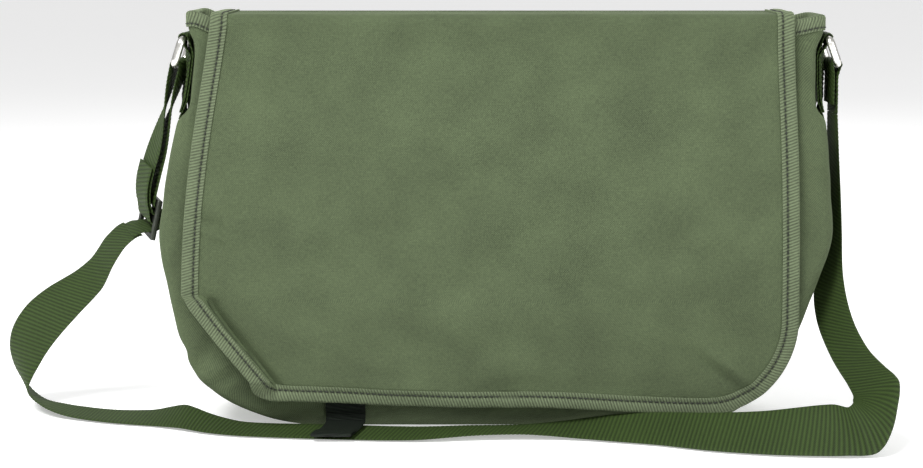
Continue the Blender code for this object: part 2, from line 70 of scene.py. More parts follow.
# The body: distance of each side from the middle, and half the depth, by height.
LEFT_SIDE = ((0, 128), (2, 138), (8, 155), (15, 169), (25, 182), (42, 193), (60, 200.5), (90, 207.5),
             (120, 212.5), (150, 209.5), (180, 204.5), (210, 199), (240, 195.5), (260, 195.5))
RIGHT_SIDE = ((0, 128), (2, 136), (8, 148), (15, 157), (25, 167), (42, 178.5), (60, 187), (90, 198.5),
              (120, 208.5), (150, 207.5), (180, 206), (210, 204), (240, 204), (260, 204))
HALF_DEPTH = ((0, 36), (8, 42.5), (25, 47.5), (60, 50.5), (120, 49), (180, 41), (240, 28), (260, 28))
MOUTH_Z = 255.0
CROWN, CROWN_TOP_Z, CROWN_SPAN = 4.0, 240.0, 225.0
CORNER_RADIUS = 7.0

# The flap: widths, lower edge, fold over the mouth and distance from the body.
FLAP_LEFT, FLAP_RIGHT = -178.0, 183.0
FLAP_LEFT_SPREAD, FLAP_RIGHT_SPREAD = 19.0, 3.0
FLAP_BOTTOM_Z = 16.0
FLAP_STANDOFF = 4.0
FLAP_DROOP = 1.3
FLAP_REAR_Y = 30.0
FLAP_TOP_Z = 260.6
FOLD_RADIUS = 6.0
FOLD_Y = -34.3
# Points of the flap's lower left corner, which runs down on a slant: (height, distance from the middle).
LEFT_CORNER = ((16, 142), (18, 149), (21, 153.5), (26, 157.5), (40, 168), (55, 179), (70, 189.5),
               (80, 195.8), (84, 197.0))
RIGHT_CORNER = 56.0
CORNER_CURL = 7.5

# Binding tape: the pitch of its ridges, and how far in from its folded edge the stitches run.
TAPE_RIB = 1.9
TAPE_SEAM = 6.6
TAPE_OVER = 0.25

# The step along swept webbing and tape, fine enough for their ridges, and where on the cloth's own
# axes the far side of a tape starts.
FINE = 0.62
FAR_SIDE = 30.0

# Webbing and its metalwork.
STRAP_WIDTH, TAB_WIDTH = 38.0, 25.0
RING_WIRE, RING_HALF_Y, RING_PITCH = 1.8, 22.0, 18.0
ANCHOR_LOW_Z, ANCHOR_HIGH_Z = 194.0, 240.0
RING_LEFT_TILT, RING_RIGHT_TILT = 18.0, 20.0
RING_CORNER = 4.2
WRAP = RING_WIRE + GAP + WEBBING / 2
SLIDER = Vector((-226.0, 0.0, 131.0))
TAB_X = -97.0
RIB_PITCH = 2.7
RIB_SLANT = -0.20
RIB_HEIGHT = 0.24
WEB_POINTS = 17

# How far the webbing at the left turns to show its outer face, in degrees, how much of its length
# from the slider is fully turned, and how much thicker the slider is than its CAD shape.
TURN_OUT = 21.0
TURNED_TO = 38.0
TURN_FADE_SHORT = 44.0
SLIDER_THICKER = 1.3

# How far the front of each gusset leans inward round the anchor tabs.
LEAN = 6.5

# Stitches: how far apart they start and how long they are, on seams, on the rear seam and on webbing.
SEAM_STITCH = (3.7, 2.4)
REAR_STITCH = (3.4, 2.5)
WEB_STITCH = (3.2, 2.4)

# The camera: as far off and as high as the viewer stands, looking a little down.
CAMERA_Y, CAMERA_Z, CAMERA_PITCH = -1300.0, 300.0, 7.98
CAMERA_LENS, CAMERA_SHIFT = 79.02, -0.0406


# ---- mesh helpers

def place(points):
    """Points in the bag's millimetres as points in the row frame, in metres."""
    return (np.asarray(points, float).reshape(-1, 3) + BODY_SHIFT) * MM


def linked(name, data):
    """A new object in the scene."""
    obj = bpy.data.objects.new(name, data)
    bpy.context.scene.collection.objects.link(obj)
    return obj


def add_mesh(name, points, faces, material, uv=None, sharp=40.0):
    """An object from points in millimetres. uv is each point's place on the cloth, in millimetres."""
    mesh = bpy.data.meshes.new(name)
    mesh.from_pydata(place(points).tolist(), [], [tuple(face) for face in faces])
    mesh.materials.append(material)
    if uv is not None:
        layer = mesh.uv_layers.new(name="cloth")
        corners = np.zeros(len(mesh.loops), np.int32)
        mesh.loops.foreach_get("vertex_index", corners)
        layer.data.foreach_set("uv", (np.asarray(uv, float)[corners] * MM).astype(np.float32).ravel())
    work = bmesh.new()
    work.from_mesh(mesh)
    bmesh.ops.recalc_face_normals(work, faces=work.faces)
    work.to_mesh(mesh)
    work.free()
    mesh.shade_smooth()
    mesh.set_sharp_from_angle(angle=math.radians(sharp))
    return linked(name, mesh)


def quads(rows, columns, wrap_rows=False, wrap_columns=False):
    """The four-sided faces of a grid of points."""
    r = np.arange(rows if wrap_rows else rows - 1)
    c = np.arange(columns if wrap_columns else columns - 1)
    r, c = np.meshgrid(r, c, indexing="ij")
    r2, c2 = (r + 1) % rows, (c + 1) % columns
    corners = (r * columns + c, r * columns + c2, r2 * columns + c2, r2 * columns + c)
    return np.stack(corners, -1).reshape(-1, 4).tolist()


def grid_uv(grid):
    """Distances along a grid's rows and columns, as each point's place on the cloth."""
    across = np.linalg.norm(np.diff(grid, axis=1), axis=2)
    down = np.linalg.norm(np.diff(grid, axis=0), axis=2)
    u = np.concatenate([np.zeros((len(grid), 1)), np.cumsum(across, axis=1)], axis=1)
    u = u - u[:, -1:] / 2
    v = np.concatenate([np.zeros((1, grid.shape[1])), np.cumsum(down, axis=0)], axis=0)
    return np.stack([u, v], -1)


def cloth_sheet(name, outer, inner, material):
    """A closed sheet of cloth between two grids of points."""
    rows, columns = outer.shape[:2]
    points = np.concatenate([outer, inner[:, ::-1]], axis=1)
    uv = grid_uv(outer)
    uv = np.concatenate([uv, uv[:, ::-1]], axis=1).reshape(-1, 2)
    faces = quads(rows, 2 * columns, wrap_columns=True)
    for start in (0, (rows - 1) * 2 * columns):
        for c in range(columns - 1):
            back = 2 * columns - 1 - c
            faces.append((start + c, start + c + 1, start + back - 1, start + back))
    return add_mesh(name, points, faces, material, uv)


def tube(name, rings, material, uv=None, closed=False, sharp=40.0):
    """A closed solid through rings of points."""
    rings = np.asarray(rings, float)
    count, size = rings.shape[:2]
    faces = quads(count, size, wrap_rows=closed, wrap_columns=True)
    if not closed:
        faces.append(tuple(range(size)))
        faces.append(tuple((count - 1) * size + k for k in range(size)))
    return add_mesh(name, rings, faces, material, uv, sharp)


def smooth_through(points, per_span):
    """A smooth curve through the points, with per_span steps from each to the next."""
    points = [Vector(p) for p in points]
    padded = [2 * points[0] - points[1], *points, 2 * points[-1] - points[-2]]
    curve = []
    for a, b, c, d in zip(padded, padded[1:], padded[2:], padded[3:]):
        for step in range(per_span):
            t = step / per_span
            bend = (2 * a - 5 * b + 4 * c - d) * t * t + (3 * b - a - 3 * c + d) * t**3
            curve.append(0.5 * (2 * b + (c - a) * t + bend))
    return [*curve, points[-1]]


def tangents(points):
    ends = [points[0], *points, points[-1]]
    return [(c - a).normalized() for a, c in zip(ends, ends[2:])]


def spaced(line, step, *others):
    """The line at even steps of its length, with values that go along it, and the distance along it."""
    line = np.asarray(line, float)
    along = np.concatenate([[0], np.cumsum(np.linalg.norm(np.diff(line, axis=0), axis=1))])
    at = np.linspace(0, along[-1], max(2, int(along[-1] / step) + 1))
    out = []
    for values in (line, *others):
        values = np.asarray(values, float)
        out.append(np.stack([np.interp(at, along, values[:, k]) for k in range(values.shape[1])], axis=1))
    return (*out, at)


def unit(vectors):
    return vectors / np.maximum(np.linalg.norm(vectors, axis=-1, keepdims=True), 1e-9)


def soft_step(value):
    value = np.clip(value, 0, 1)
    return value * value * (3 - 2 * value)


def bump_at(values, middle, width):
    """A smooth bump that is 1 at the middle."""
    return np.exp(-(((values - middle) / width) ** 2))


def curve_table(table, heights):
    """The table's value at each height, on a smooth curve through its rows."""
    at = np.array([row[0] for row in table], float)
    values = np.array([row[1] for row in table], float)
    slope = np.gradient(values, at)
    k = np.clip(np.searchsorted(at, heights, side="right") - 1, 0, len(at) - 2)
    span = at[k + 1] - at[k]
    t = np.clip((heights - at[k]) / span, 0, 1)
    rise = values[k + 1] - values[k]
    a = slope[k] * span - rise
    b = rise - slope[k + 1] * span
    return values[k] + rise * t + t * (1 - t) * (a * (1 - t) + b * t)


def noise_at(points, size, seed):
    """Smooth noise from -1 to 1 at each point, with features about size millimetres across."""
    shift = Vector((seed * 7.1, seed * 3.3, seed * 5.7))
    flat = np.asarray(points, float).reshape(-1, 3)
    values = [noise.noise(Vector(p) / size + shift) for p in flat]
    return np.array(values).reshape(np.asarray(points).shape[:-1])


def creases(x, z, lines):
    """Folds pressed into the cloth: (x, z, angle, half length, half width, height out)."""
    total = np.zeros(np.shape(x))
    for mid_x, mid_z, angle, length, width, height in lines:
        turn = math.radians(angle)
        along = (x - mid_x) * math.cos(turn) + (z - mid_z) * math.sin(turn)
        off = (z - mid_z) * math.cos(turn) - (x - mid_x) * math.sin(turn)
        total += height * np.exp(-(along / length) ** 2 - (off / width) ** 2)
    return total


# ---- materials

def new_material(name):
    material = bpy.data.materials.new(name)
    material.use_nodes = True
    tree = material.node_tree
    return material, tree, tree.nodes["Principled BSDF"]


def node(tree, kind, settings=(), **inputs):
    """A node with its settings and inputs. An input is a value or another node's output."""
    made = tree.nodes.new(kind)
    for name, value in dict(settings).items():
        setattr(made, name, value)
    for name, value in inputs.items():
        socket = made.inputs[int(name[1:])] if name[0] == "_" and name[1:].isdigit() else made.inputs[name]
        if isinstance(value, bpy.types.NodeSocket):
            tree.links.new(value, socket)
        else:
            socket.default_value = value
    return made


def calc(tree, operation, first, second=0.0):
    return node(tree, "ShaderNodeMath", {"operation": operation}, _0=first, _1=second).outputs[0]


def wave(tree, value, period, phase=0.0):
    """A sine from 0 to 1 that repeats each period, in metres."""
    angle = calc(tree, "ADD", calc(tree, "MULTIPLY", value, TURN / period), phase)
    return calc(tree, "ADD", calc(tree, "MULTIPLY", calc(tree, "SINE", angle), 0.5), 0.5)


def cloth_axes(tree):
    """The distances across and along the cloth, in metres."""
    uv = node(tree, "ShaderNodeUVMap", {"uv_map": "cloth"}).outputs["UV"]
    parts = node(tree, "ShaderNodeSeparateXYZ", _0=uv)
    return uv, parts.outputs[0], parts.outputs[1]


def mixed(tree, first, share, second, other_share):
    """Two values added up, each by its share."""
    rest = calc(tree, "MULTIPLY", second, other_share)
    return calc(tree, "ADD", calc(tree, "MULTIPLY", first, share), rest)


def cloud(tree, vector, scale, detail, stretch=None):
    """Noise from 0 to 1. stretch draws it out along one axis of the cloth."""
    if stretch:
        vector = node(tree, "ShaderNodeMapping", {"vector_type": "POINT"}, Vector=vector,
                      Scale=stretch).outputs[0]
    made = node(tree, "ShaderNodeTexNoise", Vector=vector, Scale=scale, Detail=detail)
    return made.outputs["Fac"]


def blend_colour(tree, factor, dark, light):
    ramp = node(tree, "ShaderNodeValToRGB", Fac=factor)
    ramp.color_ramp.elements[0].color = (*dark, 1.0)
    ramp.color_ramp.elements[1].color = (*light, 1.0)
    ramp.color_ramp.elements[0].position = 0.2
    ramp.color_ramp.elements[1].position = 0.8
    return ramp.outputs["Color"]


def shade(colour, by):
    return tuple(channel * by for channel in colour)


def surface(tree, shader, tone, colours, height, depth, strength):
    """Colours the surface from dark to light by its tone, and makes it uneven by its height."""
    bump = node(tree, "ShaderNodeBump", Height=height, Distance=depth, Strength=strength)
    tree.links.new(blend_colour(tree, tone, *colours), shader.inputs["Base Color"])
    tree.links.new(bump.outputs[0], shader.inputs["Normal"])


def woven(name, colour, pitch, depth, fuzz=0.35, contrast=0.3, warp_share=0.5, roughness=0.85, rib=None,
          seam=None, spread=0.36):
    """Plain-woven cloth: threads over and under, uneven yarn, slight mottling and a fuzzy sheen.
    rib is the pitch, slant and strength of its ridges. seam is where a row of stitches runs; the tone is
    darkened there as painted shade for the groove that the stitches pull in."""
    material, tree, shader = new_material(name)
    uv, u, v = cloth_axes(tree)
    over = calc(tree, "MULTIPLY", wave(tree, u, pitch), wave(tree, v, pitch))
    under = calc(tree, "MULTIPLY", wave(tree, u, pitch, math.pi), wave(tree, v, pitch, math.pi))
    weave = calc(tree, "ADD", over, under)
    warp = cloud(tree, uv, 1100.0, 2.0, (1.0, 0.3, 1.0))
    weft = cloud(tree, uv, 1100.0, 2.0, (0.3, 1.0, 1.0))
    yarn = mixed(tree, warp, warp_share, weft, 1.0 - warp_share)
    tone = mixed(tree, weave, contrast, yarn, 1.0 - contrast)
    tone = mixed(tree, tone, 0.75, cloud(tree, uv, 28.0, 5.0), 0.25)
    height = mixed(tree, weave, 0.7, yarn, 0.5)
    if rib:
        along = calc(tree, "ADD", v, calc(tree, "MULTIPLY", u, rib[1]))
        ridge = wave(tree, along, rib[0], math.pi / 2)
        tone = mixed(tree, tone, 1.0 - rib[2], ridge, rib[2] * 0.85)
        height = calc(tree, "ADD", height, calc(tree, "MULTIPLY", ridge, 1.2))
    # Painted shade: the tone is darkened by up to 40% within about 1.4 mm of the stitch row, for the shadow
    # in its groove.
    if seam:
        off = calc(tree, "ABSOLUTE", calc(tree, "SUBTRACT", u, seam))
        painted_groove_shade = calc(tree, "MINIMUM", calc(tree, "MULTIPLY", off, 700.0), 1.0)
        tone = calc(tree, "MULTIPLY", tone, calc(tree, "ADD", calc(tree, "MULTIPLY", painted_groove_shade, 0.4), 0.6))
    colours = (shade(colour, 1.0 - spread), shade(colour, 1.0 + spread * 0.9))
    surface(tree, shader, tone, colours, height, depth * MM, 0.8)
    rough = calc(tree, "ADD", calc(tree, "MULTIPLY", yarn, 0.12), roughness - 0.06)
    tree.links.new(rough, shader.inputs["Roughness"])
    shader.inputs["Specular IOR Level"].default_value = 0.25
    shader.inputs["Sheen Weight"].default_value = fuzz
    shader.inputs["Sheen Roughness"].default_value = 0.55
    shader.inputs["Sheen Tint"].default_value = (*shade(colour, 4.0), 1.0)
    return material


def grained(name, colour, spread, scale, depth, roughness, strength=0.6, stretch=None, metallic=False):
    """Thread, board or metal: a fine grain in its colour and height. Metal has smudges in its gloss too."""
    material, tree, shader = new_material(name)
    where = node(tree, "ShaderNodeTexCoord").outputs["Object"]
    grain = cloud(tree, where, *scale, stretch)
    colours = (shade(colour, 1.0 - spread[0]), shade(colour, 1.0 + spread[1]))
    surface(tree, shader, grain, colours, grain, depth, strength)
    shader.inputs["Roughness"].default_value = roughness
    if metallic:
        smudge = cloud(tree, where, 120.0, 4.0)
        rough = calc(tree, "ADD", calc(tree, "MULTIPLY", smudge, 0.25), roughness - 0.1)
        tree.links.new(rough, shader.inputs["Roughness"])
        shader.inputs["Metallic"].default_value = 1.0
    return material


def floor_material():
    material, tree, shader = new_material("floor")
    where = node(tree, "ShaderNodeTexCoord").outputs["Object"]
    grain = cloud(tree, where, 8.0, 3.0)
    tree.links.new(blend_colour(tree, grain, (0.86, 0.86, 0.86), (0.88, 0.88, 0.88)),
                   shader.inputs["Base Color"])
    shader.inputs["Roughness"].default_value = 0.7
    shader.inputs["Emission Color"].default_value = (1.0, 1.0, 1.0, 1.0)
    shader.inputs["Emission Strength"].default_value = 0.38
    return material


CANVAS_CLOTH = woven("canvas_cloth", (0.058, 0.077, 0.038), 0.0011, 0.26, contrast=0.45, spread=0.95)
LINING_CLOTH = woven("lining_cloth", (0.036, 0.048, 0.024), 0.0008, 0.08, 0.2)
TAPE_CLOTH = woven("tape_cloth", (0.092, 0.115, 0.065), 0.0009, 0.16, 0.4, 0.35, 0.2,
                   rib=(TAPE_RIB * MM, 0.35, 0.32), seam=TAPE_SEAM * MM, spread=0.85)
WEB_CLOTH = woven("web_cloth", (0.025, 0.045, 0.009), 0.0013, 0.22, 0.15, 0.45, 0.75, 0.7,
                  rib=(RIB_PITCH * MM, RIB_SLANT, 0.36), spread=0.75)
# Painted shade: the closure tab is the same webbing as the straps, made near black for the deep shade under
# the bag's front.
SHADED_TAB_CLOTH = woven("shaded_tab_cloth", (0.001, 0.004, 0.001), 0.0012, 0.22, 0.0, 0.4, 0.7, 0.75,
                  rib=(RIB_PITCH * MM, RIB_SLANT, 0.5), spread=0.6)
PILE_CLOTH = woven("pile_cloth", (0.018, 0.024, 0.014), 0.0016, 0.5, 0.6, 0.6)
DARK_THREAD = grained("dark_thread", (0.006, 0.009, 0.004), (0.4, 0.4), (1400.0, 2.0), 0.0002, 0.6)
GREEN_THREAD = grained("green_thread", (0.04, 0.06, 0.02), (0.4, 0.4), (1400.0, 2.0), 0.0002, 0.6)
BOARD = grained("pressed_board", (0.03, 0.03, 0.03), (0.3, 0.4), (900.0, 3.0), 0.0002, 0.6, 0.5)
STEEL = grained("bright_steel", (0.72, 0.71, 0.67), (0.08, 0.08), (700.0, 3.0), 0.00004, 0.28, 0.4,
                (1.0, 0.08, 0.4), True)
GUNMETAL = grained("gunmetal_paint", (0.085, 0.092, 0.078), (0.3, 0.3), (700.0, 3.0), 0.00004, 0.42, 0.4,
                   (1.0, 0.08, 0.4), True)


# ---- camera, light and floor

def camera():
    data = bpy.data.cameras.new("camera")
    data.lens = CAMERA_LENS
    data.sensor_width = 36.0
    data.shift_x = CAMERA_SHIFT
    data.clip_start = 0.05
    obj = linked("camera", data)
    obj.location = place((0, CAMERA_Y, CAMERA_Z))[0]
    obj.rotation_euler = (math.radians(90 - CAMERA_PITCH), 0, 0)
    bpy.context.scene.camera = obj


def area_light(name, spot, aim, size, power):
    data = bpy.data.lights.new(name, "AREA")
    data.shape = "DISK"
    data.size = size
    data.energy = power
    obj = linked(name, data)
    obj.location = spot
    obj.rotation_mode = "QUATERNION"
    obj.rotation_quaternion = (Vector(aim) - Vector(spot)).to_track_quat("-Z", "Y")


def studio():
    world = bpy.data.worlds.new("studio")
    world.use_nodes = True
    world.node_tree.nodes["Background"].inputs["Color"].default_value = (1.0, 1.0, 1.0, 1.0)
    world.node_tree.nodes["Background"].inputs["Strength"].default_value = 0.48
    bpy.context.scene.world = world
    bpy.context.scene.view_settings.view_transform = "Standard"
    area_light("key", (-0.7, -1.3, 1.7), (0, 0, 0.12), 0.9, 54.0)
    area_light("fill", (1.1, -1.7, 0.7), (0, 0, 0.12), 1.2, 17.0)
    area_light("rim", (0.2, 1.5, 1.6), (0, 0, 0.15), 1.2, 12.0)
    rows = np.array([[(x, y, 0.0) for x in (-60000.0, 0.0, 60000.0)] for y in (-60000.0, 0.0, 60000.0)])
    floor = add_mesh("floor", rows, quads(3, 3), floor_material())


# ---- straps

# Middle of the free strap, from the slider to the right ring's loop, and the way its width points
# there, from the near edge to the far one. It keeps to the CAD strap's route, apart from its first
# rows, which follow the turned slider, and its last ones, which lie nearer to the bag.
STRAP_ROUTE = (
    ((-236.2, -4.6, 121.8), (-0.49, 0.87, 0.1)),
    ((-241.5, -2.0, 119.0), (-0.50, 0.86, 0.06)),
    ((-250, 2, 111), (-0.50, 0.86, 0.03)),
    ((-259, 6, 98), (-0.50, 0.86, 0.06)),
    ((-269, 9, 86), (-0.63, 0.76, 0.16)),
    ((-284, 11, 74), (-0.72, 0.63, 0.27)),
    ((-298, 13, 61), (-0.74, 0.57, 0.36)),
    ((-308, 14, 48), (-0.74, 0.60, 0.32)),
    ((-314, 16, 35), (-0.66, 0.71, 0.24)),
    ((-316, 17, 22), (-0.46, 0.87, 0.14)),
    ((-311, 15, 11), (-0.20, 0.97, -0.10)),
    ((-301, 8, 5), (-0.10, 0.98, -0.14)),
    ((-288, -1, 2.8), (-0.06, 0.99, -0.07)),
    ((-272, -9, 1.6), (-0.10, 0.99, -0.02)),
    ((-248, -19, 1.4), (-0.14, 0.98, 0.0)),
    ((-222, -26, 2.2), (-0.10, 0.99, 0.05)),
    ((-202, -36, 5.4), (-0.06, 0.98, 0.17)),
    ((-186, -45, 3.6), (-0.06, 0.99, 0.10)),
    ((-162, -53, 1.3), (-0.05, 1.0, 0.0)),
    ((-123, -59, 1.2), (-0.02, 1.0, 0.0)),
    ((-85, -63, 1.2), (0.0, 1.0, 0.0)),
    ((-50, -66, 1.6), (0.0, 1.0, -0.02)),
    ((-18, -63, 2.6), (0.0, 1.0, -0.07)),
    ((15, -61, 2.8), (0.0, 1.0, -0.08)),
    ((45, -61.5, 3.2), (0.0, 1.0, 0.06)),
    ((72, -68.5, 5.6), (0.03, 0.97, 0.22)),
    ((100, -78, 7.4), (0.06, 0.94, 0.32)),
    ((128, -92, 9.0), (0.08, 0.91, 0.40)),
    ((161, -103, 11), (0.08, 0.86, 0.50)),
    ((190, -109, 13.5), (0.0, 0.78, 0.62)),
    ((206, -111, 14.5), (-0.14, 0.75, 0.65)),
    ((218, -110, 14), (-0.34, 0.75, 0.57)),
    ((224, -108, 20), (-0.44, 0.82, 0.35)),
    ((228, -98, 28), (-0.56, 0.82, -0.08)),
    ((230, -89, 35), (-0.60, 0.70, -0.38)),
    ((226, -78, 41), (-0.53, 0.76, -0.37)),
    ((219, -63, 50), (-0.46, 0.82, -0.30)),
    ((212.5, -47, 65), (-0.46, 0.86, -0.18)),
    ((210, -33, 81), (-0.40, 0.90, -0.14)),
    ((211, -21, 99), (-0.28, 0.95, -0.10)),
    ((214, -11, 120), (-0.16, 0.98, -0.08)),
    ((215, -4, 145), (-0.10, 0.99, -0.04)),
    ((215, -1, 170), (-0.04, 1.0, 0.0)),
)


def side_x(side, z):
    """Where the body's side lies at height z."""
    table = LEFT_SIDE if side < 0 else RIGHT_SIDE
    return side * float(np.interp(z, [row[0] for row in table], [row[1] for row in table]))


def ring_centres(side):
    """The ring's upper and lower bar centres."""
    tilt = math.radians(RING_LEFT_TILT if side < 0 else RING_RIGHT_TILT)
    away = GAP + WEBBING / 2 + WRAP
    upper = Vector((side_x(side, ANCHOR_HIGH_Z) + side * away, 0, ANCHOR_HIGH_Z + 5.0))
    return upper, upper + Vector((side * math.sin(tilt), 0, -math.cos(tilt))) * RING_PITCH


def webbing(name, centres, ways, width, material, thickness=WEBBING):
    """Ribbed webbing: its ribs run across it on a slight slant and its edges are thinner."""
    centres, ways, along = spaced(centres, FINE, ways)
    ways = unit(ways)
    runs = unit(np.gradient(centres, axis=0))
    flats = unit(np.cross(runs, ways))
    across = np.linspace(-0.5, 0.5, WEB_POINTS) * width
    edge = np.clip((width / 2 - np.abs(across)) / 2.2, 0, 1)
    rounded = 0.45 + 0.55 * np.sqrt(1 - (1 - edge) ** 2)
    phase = along[:, None] / RIB_PITCH + across[None, :] * RIB_SLANT / RIB_PITCH
    ribs = RIB_HEIGHT * np.abs(np.cos(phase * math.pi)) * np.clip(edge * 1.5, 0, 1)
    body = centres[:, None] + ways[:, None] * across[None, :, None]
    uneven = 0.10 * np.sin(along / 31.0)[:, None] * np.cos(across / 9.0)[None, :]
    top = body + flats[:, None] * (thickness / 2 * rounded - RIB_HEIGHT / 2 + ribs + uneven)[..., None]
    bottom = body - flats[:, None] * (thickness / 2 * rounded - RIB_HEIGHT / 2 + ribs - uneven)[..., None]
    rings = np.concatenate([top, bottom[:, ::-1]], axis=1)
    u = np.concatenate([across, across[::-1]])
    uv = np.stack(np.broadcast_arrays(u[None, :], along[:, None]), -1).reshape(-1, 2)
    return tube(name, rings, material, uv, sharp=60.0)


def raised(path, ways):
    """The strap's middle again, lifted where one of its edges would sink into the floor."""
    lifted = []
    for centre, tangent, way in zip(path, tangents(path), ways):
        flat = tangent.cross(way).normalized()
        reach = abs(way.z) * STRAP_WIDTH / 2 + abs(flat.z) * WEBBING / 2
        lifted.append(Vector((centre.x, centre.y, max(centre.z, reach + GAP))))
    return lifted


def shoulder_strap():
    end = Vector((ring_centres(1)[1].x + 0.4, 0, 196.4))
    spots = [spot for spot, _ in STRAP_ROUTE] + [end]
    ways = [way for _, way in STRAP_ROUTE] + [(0, 1, 0)]
    ways = [way.normalized() for way in smooth_through(ways, 2)]
    path = smooth_through(spots, 2)
    for _ in range(4):
        path = raised(path, ways)
    path = smooth_through(path, 6)
    ways = smooth_through(ways, 6)
    strap = webbing("strap_webbing", path, ways, STRAP_WIDTH, WEB_CLOTH)
    line = spaced(path, 4.0)[0]
    return strap, line


def slider_axes():
    """The slider's way up the strap, and its way out from the bag."""
    up = (ring_centres(-1)[1] - SLIDER).normalized()
    return up, Vector((-up.z, 0, up.x))


def round_bar(start, end, wrap, middle=0.0):
    """Points round a bar: (way up the strap, way out), from one angle to the other."""
    points = []
    for step in range(13):
        angle = math.radians(start + (end - start) * step / 12)
        points.append((middle + wrap * math.cos(angle), wrap * math.sin(angle)))
    return points


def adjuster_strap():
    """The doubled stretch: sewn round the slider's middle bar, over the left ring, back through the slider.
    Its outer layer bows away from the bag, and its sewn end lies on that layer."""
    up, out = slider_axes()
    lower = ring_centres(-1)[1]
    reach = (lower - SLIDER).length
    bow = [(5.2, 3.0), (8, 4.6), (14, 6.2), (22, 7.0), (32, 6.6), (45, 5.2), (60, 4.0), (76, 3.1)]
    tail = [(s, h + 1.9) for s, h in bow[4:0:-1]] + [(5.2, 5.2), (2.5, 4.4)]
    falling = [(reach - 6, -WRAP), (70, -0.6), (45, 1.0), (30, 1.8), (20, 2.2), (14, 2.35), (10.5, 2.35),
               (8.1, 1.9)]
    through = [(7.9, 0), (7.2, -2), (5.6, -4.0), (3, -4.9)]
    spots = tail + round_bar(105, 391, 3.4) + bow + [(reach - 6, WRAP)]
    spots += round_bar(90, -90, WRAP, reach) + falling + through + [(0, -5.2)]
    spots += [(-s, h) for s, h in through[::-1]]
    spots += [(-8.2, 1.9), (-8.9, 3.8), (-9.6, 6.4), (-11.2, 9.0), (-13.2, 11.4)]
    line = np.array([tuple(spot) for spot in smooth_through([(s, h, 0) for s, h in spots], 4)])
    turn = turned_out(line[:, 0], reach)[:, None]
    up, out, side = np.array(up), np.array(out), np.array((0.0, 1.0, 0.0))
    ways = side * np.cos(turn) + out * np.sin(turn)
    outs = out * np.cos(turn) - side * np.sin(turn)
    centres = np.array(SLIDER) + up * line[:, :1] + outs * line[:, 1:2]
    return webbing("adjuster_webbing", centres, ways, STRAP_WIDTH, WEB_CLOTH)


def turned_out(s, reach):
    """How far the doubled strap is turned at distance s from the slider: not at all at the ring."""
    return math.radians(TURN_OUT) * (1 - soft_step((s - TURNED_TO) / (reach - TURN_FADE_SHORT)))


def turned_slider():
    """The slider, turned with the webbing that runs through it."""
    slider = rounded_copy("slider_metal", "slider", GUNMETAL, 0.8)
    up, out = slider_axes()
    middle = Vector(place(tuple(SLIDER))[0])
    turn = math.radians(TURN_OUT)
    for vertex in slider.data.vertices:
        spot = vertex.co - middle
        y, h = spot.y, spot.dot(out) * SLIDER_THICKER
        side = Vector((0, 1, 0)) * (y * math.cos(turn) - h * math.sin(turn))
        vertex.co = middle + up * spot.dot(up) + side + out * (h * math.cos(turn) + y * math.sin(turn))
    return slider


def arc(centre, radius, start, end, steps):
    """Points in the XZ plane round a centre, angles in degrees from +X towards +Z."""
    points = []
    for step in range(steps + 1):
        angle = math.radians(start + (end - start) * step / steps)
        points.append(centre + Vector((math.cos(angle), 0, math.sin(angle))) * radius)
    return points


def lean(z):
    """How far the front of each gusset lies inward of its middle, and the back outward."""
    return LEAN * soft_step((z - 193) / 10) * soft_step((247 - z) / 14)


def anchor_tab(word, side):
    """Webbing sewn flat on the gusset and folded over the ring's upper bar."""
    upper = ring_centres(side)[0]
    inner_x = GAP + WEBBING / 2
    outer_x = inner_x + WEBBING + GAP
    path = []
    for z in (ANCHOR_LOW_Z, 215.0, 230.0, ANCHOR_HIGH_Z - 3):
        path.append(Vector((side_x(side, z) + side * inner_x, 0, z)))
    path += arc(upper, WRAP, 180 if side > 0 else 0, 0 if side > 0 else 180, 12)
    for z in (ANCHOR_HIGH_Z - 6, 230.0, 215.0, ANCHOR_LOW_Z + 4):
        path.append(Vector((side_x(side, z) + side * outer_x, 0, z)))
    path = smooth_through(path, 2)
    heights = np.array([spot.z for spot in path])
    turn = side * lean(heights) / curve_table(HALF_DEPTH, heights)
    ways = [Vector((by, 1, 0)).normalized() for by in turn]
    return webbing("anchor_webbing_" + word, path, ways, STRAP_WIDTH, WEB_CLOTH)


def strap_end():
    """The strap's sewn end, folded round the right ring's lower bar, with its hem."""
    lower = ring_centres(1)[1]
    inside = [Vector((lower.x - 2.0, 0, z)) for z in (203.0, 212.0, 221.0)]
    outside = [Vector((lower.x + 0.4, 0, z)) for z in (221.0, 212.0, 203.0, 197.0)]
    path = smooth_through(inside + arc(lower, WRAP, 180, 0, 12) + outside, 2)
    return webbing("strap_end_webbing", path, [Vector((0, 1, 0))] * len(path), STRAP_WIDTH, WEB_CLOTH)


def closure_tab():
    """The short tab low on the front: bent forward over the strap, with a hemmed end."""
    base = curve_table(HALF_DEPTH, np.array([17.0, 12.0, 8.5]))
    path = [Vector((TAB_X, -base[k] - 1.6, z)) for k, z in enumerate((17.0, 12.0, 8.5))]
    y = path[-1].y
    path += [Vector((TAB_X, y - 2.2, 5.4)), Vector((TAB_X, y - 6, 4.6)), Vector((TAB_X - 2, y - 20, 4.3))]
    path += [Vector((TAB_X - 6, y - 38, 4.1)), Vector((TAB_X - 6.4, y - 40.5, 4.8))]
    path += [Vector((TAB_X - 6, y - 38.5, 5.6)), Vector((TAB_X - 4, y - 30, 5.7))]
    path = smooth_through(path, 3)
    ways = [Vector((1, 0, 0))] * len(path)
    return webbing("closure_webbing", path, ways, TAB_WIDTH, SHADED_TAB_CLOTH, thickness=1.1)


# ---- body shell, lining and mouth tape

